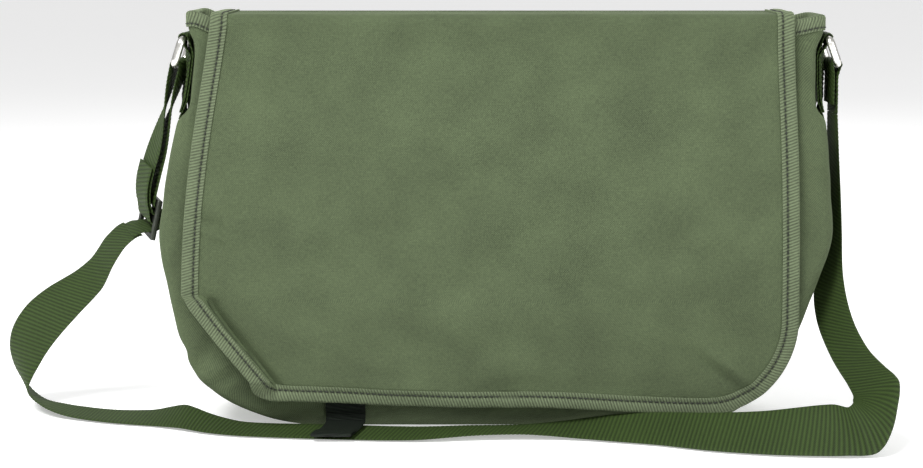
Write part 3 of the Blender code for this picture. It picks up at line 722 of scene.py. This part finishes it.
SHELL_CREASES = (
    (-184, 52, 60, 16, 3.2, -2.6), (-176, 40, 35, 20, 3.0, 2.2), (-168, 34, 30, 22, 2.6, -1.8),
    (-120, 12, 4, 24, 3.0, -1.8), (-78, 9, 70, 7, 2.6, -1.6), (-12, 8, 65, 8, 2.8, -1.8),
    (40, 11, 5, 40, 3.4, -1.4), (120, 13, -8, 30, 3.2, -1.6), (-200, 110, 70, 26, 5.0, -1.6),
    (-196, 150, 82, 40, 5.0, 1.2), (196, 120, -75, 30, 5.0, -1.4), (150, 24, 25, 26, 4.0, 1.6),
    (-60, 120, 30, 60, 10, -1.6), (70, 90, -35, 70, 11, -1.8), (0, 190, 0, 90, 9, -1.2),
)


def loop_spots(z, inset):
    """The rounded outline of the body at heights z, inset from the skin, as (heights, spots, xyz)."""
    left = curve_table(LEFT_SIDE, z) - inset
    right = curve_table(RIGHT_SIDE, z) - inset
    half = curve_table(HALF_DEPTH, z) - inset
    radius = max(1.5, CORNER_RADIUS - inset)
    long_side = np.linspace(0, 1, 92)[:-1]
    short_side = np.linspace(0, 1, 26)[:-1]
    turn = np.linspace(0, math.pi / 2, 8)[:-1]
    columns = []
    corners = ((-1, -1), (1, -1), (1, 1), (-1, 1))
    for k, (sx, sy) in enumerate(corners):
        nx, ny = corners[(k + 1) % 4]
        start = math.atan2(sy, sx) - math.pi / 4
        edge = right if sx > 0 else -left
        for angle in start + turn:
            columns.append((edge - sx * radius + radius * math.cos(angle),
                            sy * (half - radius) + radius * math.sin(angle)))
        far = right if nx > 0 else -left
        out_x, out_y = math.cos(start + math.pi / 2), math.sin(start + math.pi / 2)
        for t in long_side if sy == ny else short_side:
            x0 = edge - sx * radius + radius * out_x
            x1 = far - nx * radius + radius * out_x
            y0 = sy * (half - radius) + radius * out_y
            y1 = ny * (half - radius) + radius * out_y
            columns.append((x0 + (x1 - x0) * t, y0 + (y1 - y0) * t))
    x = np.stack([column[0] for column in columns], axis=1)
    y = np.stack([column[1] for column in columns], axis=1)
    return x, y, np.broadcast_to(z[:, None], x.shape), half[:, None]


def crown(x, z):
    """How full the body's faces are: from 0 at the base and mouth to 1 halfway up the middle."""
    return np.sin(math.pi * np.clip(z / CROWN_TOP_Z, 0, 1)) * (1 - (x / CROWN_SPAN) ** 2)


def hump(x):
    """How far the mouth's rim rises at each side of the bag."""
    return 6.3 * bump_at(x, -192, 11) + 3.6 * bump_at(x, 202, 12)


def on_gusset(x, z):
    """1 where a point of the body's outline lies on a gusset, and 0 on the panels between them."""
    reach = np.where(x > 0, curve_table(RIGHT_SIDE, z)[:, None], curve_table(LEFT_SIDE, z)[:, None])
    return np.clip(np.abs(x) / np.maximum(reach, 1), 0, 1) ** 30


def gusset_shift(x, z, share):
    """How far a gusset bulges, leans round its tab and, at the left, slumps over the floor."""
    full = np.where(x < 0, 3.0, 1.4) * bump_at(z, 95, 52) - 1.2 * bump_at(z, 205, 26)
    slump = 2.6 * bump_at(z, 40, 20) - 2.0 * bump_at(z, 50, 5.5)
    return np.sign(x) * (full * np.clip(1 - share**2, 0, 1) + lean(z) * share) - (x < 0) * slump


def shell_grid(z, inset):
    """Points of the sagging body at heights z: crowned faces, full gussets, folds and wrinkles."""
    z = np.asarray(z, float)
    x, y, zz, half = loop_spots(z, inset)
    share = y / half
    y = y + share * CROWN * crown(x, zz) * np.clip(np.abs(share) * 3 - 1.5, 0, 1)
    gusset = on_gusset(x, z)
    x = x + gusset * gusset_shift(x, zz, share)
    face = np.clip(np.abs(share) * 4 - 3, 0, 1)
    free = np.clip(zz / 10, 0, 1) * np.clip((262 - zz) / 40, 0.15, 1)
    spots = np.stack([x, y, zz], -1)
    ripple = 1.1 * noise_at(spots, 62.0, 1) + 0.5 * noise_at(spots, 24.0, 2)
    ripple = ripple + 1.1 * bump_at(zz, 20, 34) * noise_at(spots, 15.0, 3) + creases(x, zz, SHELL_CREASES)
    y = y + np.sign(y) * face * free * ripple
    x = x + np.sign(x) * gusset * free * (0.7 * noise_at(spots, 40.0, 4) + 0.4 * noise_at(spots, 16.0, 5))
    return np.stack([x, y, zz + hump(x) * soft_step((zz - 205) / 45)], -1)


def row_heights(low, high, fine):
    """Heights that crowd together near the base, where the shell turns under."""
    near = [low + step for step in (0, 0.4, 0.9, 1.6, 2.6, 4.0, 5.6, 7.5, 9.8, 12.5, 15.5, 19.0)]
    rest = np.linspace(low + 22.0, high, int((high - low - 22.0) / fine))
    return np.array([*near, *rest])


def shell(name, inset, thickness, low, material):
    """The body or its lining as one closed skin, open at the mouth."""
    outer = shell_grid(row_heights(low, MOUTH_Z, 2.4), inset)
    inner = shell_grid(row_heights(low + thickness, MOUTH_Z, 5.0), inset + thickness)
    outer[0, :, 2] = low
    inner[0, :, 2] = low + thickness
    inner = inner[::-1]
    uv = np.concatenate([grid_uv(outer), grid_uv(inner)], axis=0).reshape(-1, 2)
    return tube(name, np.concatenate([outer, inner], axis=0), material, uv, sharp=60.0)


def mouth_tape():
    """Ribbed tape folded over the mouth's rim all round, with the line of its stitches and their way out."""
    top = shell_grid(np.array([MOUTH_Z - 0.5, MOUTH_Z]), 0.0)[1]
    spots = spaced(np.concatenate([top, top[:1]]), FINE)[0][:-1]
    run = unit(np.roll(spots, -3, axis=0) - np.roll(spots, 3, axis=0))
    up = np.array((0.0, 0.0, 1.0))
    inward = unit(np.cross(up, run))
    deep = CANVAS + GAP + LINING
    # The tape's section: how far in from the canvas, how far over the rim, and 1 where it is ribbed.
    profile = ((-0.4, -8.6, 0), (-1.1, -8.4, 0), (-1.25, -6.0, 0), (-1.2, -3.4, 0), (-1.2, -0.6, 0),
               (-0.7, 0.7, 0), (0.4, 1.25, 1), (deep - 0.4, 1.25, 1), (deep + 0.7, 0.7, 0),
               (deep + 1.1, -0.6, 0), (deep + 1.1, -8.4, 0), (deep + 0.4, -8.6, 0), (deep + 0.3, 0.0, 0),
               (-0.3, 0.0, 0))
    along = np.arange(len(spots)) * FINE
    ribs = 0.16 * np.abs(np.cos(along * math.pi / TAPE_RIB))
    rings = [spots + inward * a + up * (b + ribs * ribbed)[:, None] for a, b, ribbed in profile]
    uv = [np.stack([np.full(len(spots), abs(b) + (a > 0) * FAR_SIDE), along], -1) for a, b, _ in profile]
    uv = np.stack(uv, axis=1).reshape(-1, 2)
    tape = tube("mouth_tape", np.stack(rings, axis=1), TAPE_CLOTH, uv, True, 60.0)
    return tape, spots - inward * 1.35 - up * TAPE_SEAM, -inward


# ---- flap

FLAP_CREASES = (
    (-174, 124, -25, 12, 3.0, 1.9), (-176, 131, -25, 12, 2.6, -1.6), (-168, 150, 35, 34, 9.0, 1.3),
    (-150, 88, 25, 40, 9.0, -1.6), (146, 44, -36, 20, 3.6, 2.2), (140, 38, -36, 18, 3.0, -1.6),
    (118, 62, -38, 44, 9.0, 2.4), (60, 84, -30, 80, 15.0, -2.0),
    (-20, 70, 12, 90, 16.0, 1.6), (-110, 44, 15, 60, 10.0, -1.4), (70, 190, -48, 60, 20.0, -2.2),
    (20, 150, 32, 90, 22.0, 2.2), (-60, 118, 28, 80, 18.0, -2.0), (120, 140, -20, 46, 14.0, 1.6),
    (-150, 42, -52, 26, 4.0, -2.0), (40, 30, 4, 60, 6.0, -1.2), (-60, 26, -3, 50, 5.0, 1.2),
)


def flap_spread(z):
    """How much of its spread each side of the flap has at height z."""
    drop = 1 - (z - FLAP_BOTTOM_Z) / (FLAP_TOP_Z - FLAP_BOTTOM_Z)
    return np.sin(0.5 * math.pi * np.clip(drop * FLAP_DROOP, 0, 1))


def flap_left(z):
    """The flap's left edge on the front, with its slanting lower corner."""
    edge = FLAP_LEFT - FLAP_LEFT_SPREAD * flap_spread(z)
    corner = -curve_table(LEFT_CORNER, z)
    return np.where(z < LEFT_CORNER[-1][0], np.maximum(corner, edge), edge)


def flap_right(z):
    """Its right edge, with its round lower corner."""
    edge = FLAP_RIGHT + FLAP_RIGHT_SPREAD * flap_spread(z)
    below = np.clip(FLAP_BOTTOM_Z + RIGHT_CORNER - z, 0, RIGHT_CORNER)
    return edge - (RIGHT_CORNER - np.sqrt(np.maximum(RIGHT_CORNER**2 - below**2, 0)))


FOLD_MIDDLE = (FOLD_Y + FOLD_RADIUS, MOUTH_Z - 0.4)
FOLD_LENGTH = FOLD_RADIUS * math.pi / 2
TOP_LENGTH = FLAP_REAR_Y - FOLD_MIDDLE[0]


def flap_corner(x, z):
    """How far forward the lower left corner is folded, and how deep the groove beside it is."""
    inside = x - flap_left(z)
    corner = soft_step((z - 20) / 7) * soft_step((88 - z) / 7)
    curl = corner * (CORNER_CURL * soft_step((16.5 - inside) / 4.5) + 2.0 * np.clip(1 - inside / 14, 0, 1))
    return curl, 3.4 * corner * bump_at(inside, 17.5, 3.5)


def flap_folds(x, z):
    """The front's waves and folds. They stay clear of the body, and the pads hold them flat."""
    spots = np.stack([x, np.zeros_like(x), z], -1)
    ripple = 2.4 * noise_at(spots, 78.0, 6) + 1.0 * noise_at(spots, 30.0, 7) + 0.2 * noise_at(spots, 9.0, 8)
    ripple = ripple + 1.7 * creases(x, z, FLAP_CREASES)
    ripple = 0.5 * (ripple - 1.4 + np.sqrt((ripple + 1.4) ** 2 + 1.0))
    held = bump_at(np.abs(x), 95, 40) * bump_at(z, 70, 34)
    return ripple * (1 - held) + 0.6 * held


def top_sag(x, s, back):
    """How far the flap's top lies over or under its even height."""
    wave_out = (s < 0) * 0.35 * noise_at(np.stack([x, back, x * 0], -1), 26.0, 9)
    sag = 1.2 * (1 - (x / 185) ** 2) * np.sin(math.pi * back / TOP_LENGTH)
    return wave_out - np.where(s < -FOLD_LENGTH, sag, 0)


def flap_place(x, s, out):
    """Points of the flap: x across it, s down it from the front edge of the mouth, out from its canvas."""
    x, s, out = np.broadcast_arrays(np.asarray(x, float), np.asarray(s, float), np.asarray(out, float))
    front_z = FOLD_MIDDLE[1] - np.maximum(s, 0)
    depth = curve_table(HALF_DEPTH, np.clip(front_z, 0, MOUTH_Z)) + CROWN * crown(x, front_z)
    front_y = -(depth + FLAP_STANDOFF + LINING + GAP + CANVAS)
    angle = np.clip(-s / FOLD_LENGTH, 0, 1) * math.pi / 2
    way_y, way_z = -np.cos(angle), np.sin(angle)
    back = np.maximum(-s - FOLD_LENGTH, 0)
    y = np.where(s > 0, front_y, FOLD_MIDDLE[0] + FOLD_RADIUS * way_y + back)
    z = np.where(s > 0, front_z, FOLD_MIDDLE[1] + FOLD_RADIUS * way_z)
    curl, groove = flap_corner(x, front_z)
    flare = 2.6 * np.clip((60 - front_z) / 45, 0, 1) ** 2
    push = soft_step(s / 50) * flap_folds(x, front_z) + flare + curl - groove + top_sag(x, s, back)
    bottom = np.interp(x, (-160, -50, 0, 80, 140), (3.6, 2.2, 0.4, -2.6, -3.6)) + 0.8 * np.sin(x / 27.0)
    z = z + bottom * (1 - soft_step((front_z - FLAP_BOTTOM_Z) / 80)) + 3.0 * curl / CORNER_CURL
    reach = out + push
    return np.stack([x + 2.5 * curl / CORNER_CURL, y + way_y * reach, z + way_z * reach], -1)


FLAP_DEPTH = FOLD_MIDDLE[1] - FLAP_BOTTOM_Z


def flap_grid(out):
    s = np.concatenate([np.linspace(-FOLD_LENGTH - TOP_LENGTH, -FOLD_LENGTH - 1, 26),
                        np.linspace(-FOLD_LENGTH, 0, 10), np.linspace(1.5, FLAP_DEPTH - 12, 112),
                        FLAP_DEPTH - np.array([10.5, 9, 7.5, 6, 4.6, 3.4, 2.3, 1.4, 0.7, 0.2, 0.0])])
    z = FOLD_MIDDLE[1] - np.maximum(s, 0)
    share = np.linspace(0, 1, 150)[None, :]
    left, right = flap_left(z)[:, None], flap_right(z)[:, None]
    return flap_place(left + (right - left) * share, s[:, None], out)


def flap_outline():
    """The flap's free edge as (x, s), from its left rear to its right rear, with the way inward."""
    rows = np.concatenate([np.arange(-FOLD_LENGTH - TOP_LENGTH, FLAP_DEPTH - 3, 1.5),
                           FLAP_DEPTH - np.array([2.4, 1.6, 1.0, 0.5, 0.2, 0.0])])
    z = FOLD_MIDDLE[1] - np.maximum(rows, 0)
    left = np.stack([flap_left(z), rows], -1)
    right = np.stack([flap_right(z), rows], -1)[::-1]
    bottom = np.linspace(left[-1], right[0], 60)[1:-1]
    line = np.concatenate([left, bottom, right])
    padded = np.concatenate([line[:1], line, line[-1:]])
    smooth = (padded[:-2] + padded[1:-1] + padded[2:]) / 3
    smooth[:, 1] = np.where(line[:, 1] < 20, line[:, 1], smooth[:, 1])
    spots, at = spaced(smooth, FINE)
    run = unit(np.gradient(spots, axis=0))
    inward = np.stack([run[:, 1], -run[:, 0]], -1)
    return spots, inward, at


def flap_tape():
    """Ribbed tape round the flap's free edge, outside and inside, with the overlap where its ends meet."""
    spots, inward, at = flap_outline()
    under = -(CANVAS + GAP + LINING + TAPE_OVER)
    # The tape's section: how far in from the flap's edge, how far out of its canvas, 1 where it is ribbed.
    profile = ((9.7, 0.15, 0), (9.8, 1.0, 0), (9.0, 1.2, 0), (8.2, 1.05, 0), (7.2, 0.7, 0), (6.0, 0.7, 0),
               (5.2, 1.1, 1), (3.6, 1.25, 1), (1.8, 1.2, 1), (0.4, 1.1, 1), (-0.6, 0.6, 0), (-1.0, -0.5, 0),
               (-1.0, -1.9, 0), (-0.5, under - 0.7, 0), (0.6, under - 1.0, 0), (5.0, under - 1.0, 0),
               (9.7, under - 0.9, 0), (9.7, under - 0.1, 0), (0.4, under, 0), (0.0, -1.2, 0), (0.4, 0.1, 0))
    bottom = spots[:, 1] > FLAP_DEPTH - 4
    lap = bottom * (1 - soft_step(np.abs(spots[:, 0] - 6) / 7 - 0.3))
    rings = np.zeros((len(spots), len(profile), 3))
    uv = np.zeros((len(spots), len(profile), 2))
    for k, (a, b, ribbed) in enumerate(profile):
        inner = spots + inward * a
        over = (b > 0) * lap * 1.1
        slant = ribbed * np.abs(np.cos((at + a * 0.35) * math.pi / TAPE_RIB))
        rings[:, k] = flap_place(inner[:, 0], inner[:, 1], b + 0.22 * slant + over)
        uv[:, k] = np.stack([np.full(len(spots), a + (b < 0) * FAR_SIDE), at], -1)
    return tube("flap_tape", rings, TAPE_CLOTH, uv.reshape(-1, 2), sharp=60.0)


def flap_stitch_lines():
    """The seams on the flap: one row through the tape's outer side and one on its inner side."""
    spots, inward, _ = flap_outline()
    rows = []
    for a, b in ((TAPE_SEAM, 0.95), (TAPE_SEAM, -(CANVAS + GAP + LINING + 1.3))):
        line = spots + inward * a
        rows.append(flap_place(line[:, 0], line[:, 1], b))
    return rows


def rear_seam():
    """The flap's rear edge turned down on the back panel, sewn with two rows."""
    left, right = FLAP_LEFT + 1.0, FLAP_RIGHT - 1.0
    x = np.linspace(left, right, 120)[None, :]
    drop = np.linspace(0, 1, 16)[:, None]
    reach = 24.0 * drop
    round_over = np.clip(reach / 7.0, 0, 1) * math.pi / 2
    z = 260.9 - 5.0 * (1 - np.cos(round_over)) - np.maximum(reach - 7.0, 0)
    back = curve_table(HALF_DEPTH, np.clip(z, 0, 255)) + 1.9
    y = FLAP_REAR_Y - 1.5 + (back - FLAP_REAR_Y + 1.5) * np.sin(round_over)
    wobble = 0.35 * noise_at(np.stack(np.broadcast_arrays(x, y * 0, z), -1), 24.0, 12)
    outer = np.stack(np.broadcast_arrays(x, y + wobble + 0.6, z), -1)
    skin = 1.1 * np.stack(np.broadcast_arrays(x * 0, np.sin(round_over), np.cos(round_over)), -1)
    inner = outer - skin
    strip = cloth_sheet("rear_seam", outer, inner, CANVAS_CLOTH)
    rows = [outer[10] + np.array((0, 0.1, 0)), outer[13] + np.array((0, 0.1, 0))]
    return strip, rows


# ---- stitching

STITCH_SIDES = 6
STITCH_SECTIONS = ((0.0, 0.25), (0.16, 0.85), (0.5, 1.0), (0.84, 0.85), (1.0, 0.25))


def stitch_rings(ends, out, radius):
    """The rings of one short plump bar of thread between its two ends."""
    run = unit(ends[1] - ends[0])
    side = unit(np.cross(run, out))
    rise = np.cross(side, run)
    rings = []
    for t, plump in STITCH_SECTIONS:
        middle = ends[0] + (ends[1] - ends[0]) * t + rise * radius * (plump - 1) * 0.8
        turn = np.arange(STITCH_SIDES) * TURN / STITCH_SIDES
        rings.append([middle + (side * math.cos(a) + rise * math.sin(a)) * radius * plump for a in turn])
    return rings


def stitch_faces(base):
    """The faces of one stitch whose first point has the number base."""
    last = len(STITCH_SECTIONS) - 1
    faces = [tuple(base + r * STITCH_SIDES + c for c in range(STITCH_SIDES)) for r in (0, last)]
    for r in range(last):
        for c in range(STITCH_SIDES):
            a = base + r * STITCH_SIDES + c
            b = base + r * STITCH_SIDES + (c + 1) % STITCH_SIDES
            faces.append((a, b, b + STITCH_SIDES, a + STITCH_SIDES))
    return faces


def stitches(name, lines, outwards, spacing, radius, material):
    """Rows of separate stitches along lines. spacing is how far apart they start and how long they are."""
    pitch, length = spacing
    rings, faces = [], []
    for line, outward in zip(lines, outwards):
        spots, at = spaced(line, 0.4)
        for start in np.arange(0.5, at[-1] - length, pitch):
            there = (start, start + length)
            ends = np.stack([np.interp(there, at, spots[:, k]) for k in range(3)], axis=1)
            nearest = min(int(start / at[-1] * len(outward)), len(outward) - 1)
            out = outward if np.ndim(outward) == 1 else outward[nearest]
            faces += stitch_faces(len(rings) * STITCH_SIDES)
            rings += stitch_rings(ends, out, radius)
    return add_mesh(name, np.array(rings), faces, material, sharp=70.0)


def box_stitch(x_at, y_half, low, high, side):
    """A sewn box with a cross in it, on a tab at the side of the bag."""
    def at(y, z):
        turn = lean(np.array(z)) / curve_table(HALF_DEPTH, np.array([z]))[0]
        return (x_at(z) + side * turn * y, y, z)

    def row(start, end):
        return np.array([at(y, z) for y, z in zip(np.linspace(start[0], end[0], 12),
                                                  np.linspace(start[1], end[1], 12))])

    corners = [(-y_half, low), (y_half, low), (y_half, high), (-y_half, high)]
    lines = [row(corners[k], corners[(k + 1) % 4]) for k in range(4)]
    lines += [row(corners[0], corners[2]), row(corners[1], corners[3])]
    return lines, [np.array((side, 0.0, 0.0))] * len(lines)


# ---- metalwork and small parts

def ring(word, side):
    """A rectangular ring of round wire with rounded corners and broader sides."""
    upper, lower = ring_centres(side)
    down = (lower - upper).normalized()
    path = []
    for y_sign, end, start in ((1, upper, 90), (1, lower, 0), (-1, lower, -90), (-1, upper, -180)):
        inward = down if end is upper else -down
        centre = end + inward * RING_CORNER + Vector((0, y_sign * (RING_HALF_Y - RING_CORNER), 0))
        for turn in range(0, -91, -10):
            angle = math.radians(start + turn)
            turned = Vector((0, math.cos(angle), 0)) - down * math.sin(angle)
            path.append(centre + turned * RING_CORNER)
    out = down.cross(Vector((0, 1, 0)))
    rings = []
    for before, point, after in zip(path[-1:] + path, path, path[1:] + path[:1]):
        run = (after - before).normalized()
        flat = run.cross(out)
        wide = RING_WIRE * (1 + 0.45 * abs(run.dot(down)))
        angles = [TURN * k / 18 for k in range(18)]
        rings.append([point + out * math.cos(a) * wide + flat * math.sin(a) * RING_WIRE for a in angles])
    return tube("ring_wire_" + word, np.array(rings), STEEL, closed=True, sharp=80.0)


def rounded_copy(name, cad_node, material, bevel):
    """A new piece in the shape of a CAD node, with its edges rounded over."""
    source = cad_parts[cad_node]
    work = bmesh.new()
    work.from_mesh(source.data)
    bmesh.ops.remove_doubles(work, verts=work.verts, dist=1e-6)
    bmesh.ops.dissolve_limit(work, angle_limit=math.radians(4), verts=work.verts, edges=work.edges)
    edges = [edge for edge in work.edges if edge.calc_face_angle(0.0) > math.radians(35)]
    bmesh.ops.bevel(work, geom=edges, offset=bevel * MM, segments=3, affect="EDGES", profile=0.6,
                    clamp_overlap=True)
    bmesh.ops.triangulate(work, faces=work.faces)
    mesh = bpy.data.meshes.new(name)
    work.to_mesh(mesh)
    work.free()
    layer = mesh.uv_layers.get("cloth") or mesh.uv_layers.new(name="cloth")
    for loop in mesh.loops:
        spot = mesh.vertices[loop.vertex_index].co
        layer.data[loop.index].uv = (spot.x + spot.y * 0.3, spot.z)
    mesh.materials.clear()
    mesh.materials.append(material)
    mesh.shade_smooth()
    mesh.set_sharp_from_angle(angle=math.radians(40))
    return linked(name, mesh)


# ---- putting it together

def label(obj, nodes):
    """Hides the CAD nodes that the piece stands for."""
    if nodes:
        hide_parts(*nodes)
    return obj


def show(obj, body, slot, *nodes):
    """A piece that rides on one body."""
    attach(obj, body)
    return label(obj, nodes)


def bend(obj, bodies, start, end, slot, *nodes):
    """Cloth that crosses the joint between two bodies, with its place baked into its points. bodies, start
    and end are not used.
    """
    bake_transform(obj)
    return label(obj, nodes)


def build_straps():
    strap, line = shoulder_strap()
    bend(strap, ("root", "ring_r"), (206, -30, 90), (215, 0, 192), "webbing", "shoulder_strap")
    end = show(strap_end(), "ring_r", "webbing", "strap_end")
    adjuster = adjuster_strap()
    up, _ = slider_axes()
    ring_low = ring_centres(-1)[1]
    bend(adjuster, ("root", "ring_l"), tuple(SLIDER + up * 22), tuple(ring_low - up * 4), "webbing",
         "adjuster_strap")
    slider = show(turned_slider(), "slider_body", "gunmetal", "slider")
    for side, word, body in ((-1, "left", "ring_l"), (1, "right", "ring_r")):
        show(anchor_tab(word, side), "root", "webbing", "anchor_tab_" + word)
        show(ring(word, side), body, "steel", "ring_" + word)
    tab = closure_tab()
    base = float(curve_table(HALF_DEPTH, np.array([8.5]))[0])
    bend(tab, ("root", "tab_end"), (TAB_X, -base - 1, 9.5), (TAB_X, -base - 6, 4.5), "webbing", "tab_sewn",
         "tab_loose")


def build_body():
    canvas = shell("shell_canvas", 0.0, CANVAS, 0.0, CANVAS_CLOTH)
    show(canvas, "root", "canvas", "front_panel", "back_panel", "gusset_left", "gusset_right", "base_panel")
    lining = shell("shell_lining", CANVAS + GAP, LINING, 4.4, LINING_CLOTH)
    show(lining, "root", "lining", "lining_front", "lining_back", "lining_left", "lining_right")
    show(rounded_copy("board_insert", "base_board", BOARD, 0.5), "root", "board", "base_board")
    tape, seam, outward = mouth_tape()
    show(tape, "root", "binding", "mouth_binding")
    show(stitches("stitches_mouth", [seam], [outward], SEAM_STITCH, 0.42, DARK_THREAD), "root", "binding")
    strip, seams = rear_seam()
    bend(strip, ("root", "flap_over"), (0, 32, 247), (0, 28, 260.5), "canvas")
    ways = [np.array((0.0, 1.0, 0.0))] * 2
    show(stitches("stitches_rear", seams, ways, REAR_STITCH, 0.34, DARK_THREAD), "root", "canvas")


def build_flap():
    bodies = ("flap_over", "flap_face")
    start, end = (0, -25, 261), (0, -36, 250)
    canvas = cloth_sheet("flap_canvas", flap_grid(0.0), flap_grid(-CANVAS), CANVAS_CLOTH)
    bend(canvas, bodies, start, end, "canvas", "flap_front", "flap_top")
    back_faces = (flap_grid(-CANVAS - GAP), flap_grid(-CANVAS - GAP - LINING))
    backing = cloth_sheet("flap_backing", *back_faces, LINING_CLOTH)
    bend(backing, bodies, start, end, "lining", "flap_lining", "flap_top_lining")
    bend(flap_tape(), bodies, start, end, "binding", "flap_binding", "flap_top_binding_left",
         "flap_top_binding_right")
    rows = flap_stitch_lines()
    ways = [np.array((0.0, -0.8, 0.6)), np.array((0.0, 0.8, -0.6))]
    sewn = stitches("stitches_flap", rows, ways, SEAM_STITCH, 0.45, DARK_THREAD)
    bend(sewn, bodies, start, end, "binding")
    for word in ("left", "right"):
        for kind, body in (("hook", "flap_face"), ("loop", "root")):
            strip = kind + "_strip_" + word
            pad = rounded_copy(kind + "_pad_" + word, strip, PILE_CLOTH, 0.45)
            show(pad, body, "hook_and_loop", strip)


def build_tab_seams():
    for side, word in ((-1, "left"), (1, "right")):
        off = GAP + WEBBING + WEBBING + GAP + 0.15
        lines, ways = box_stitch(lambda z: side_x(side, z) + side * off, 15.5, 206.0, 230.0, side)
        sewn = stitches("stitches_anchor_" + word, lines, ways, WEB_STITCH, 0.32, GREEN_THREAD)
        show(sewn, "root", "webbing")
    x = ring_centres(1)[1].x + 0.4 + WEBBING / 2 + 0.15
    lines = [np.array([(x, -16.5, z), (x, 16.5, z)]) for z in (205.0, 209.0)]
    ways = [np.array((1.0, 0.0, 0.0))] * 2
    show(stitches("stitches_strap_end", lines, ways, WEB_STITCH, 0.32, GREEN_THREAD), "ring_r", "webbing")


camera()
studio()
build_straps()
build_body()
build_flap()
build_tab_seams()
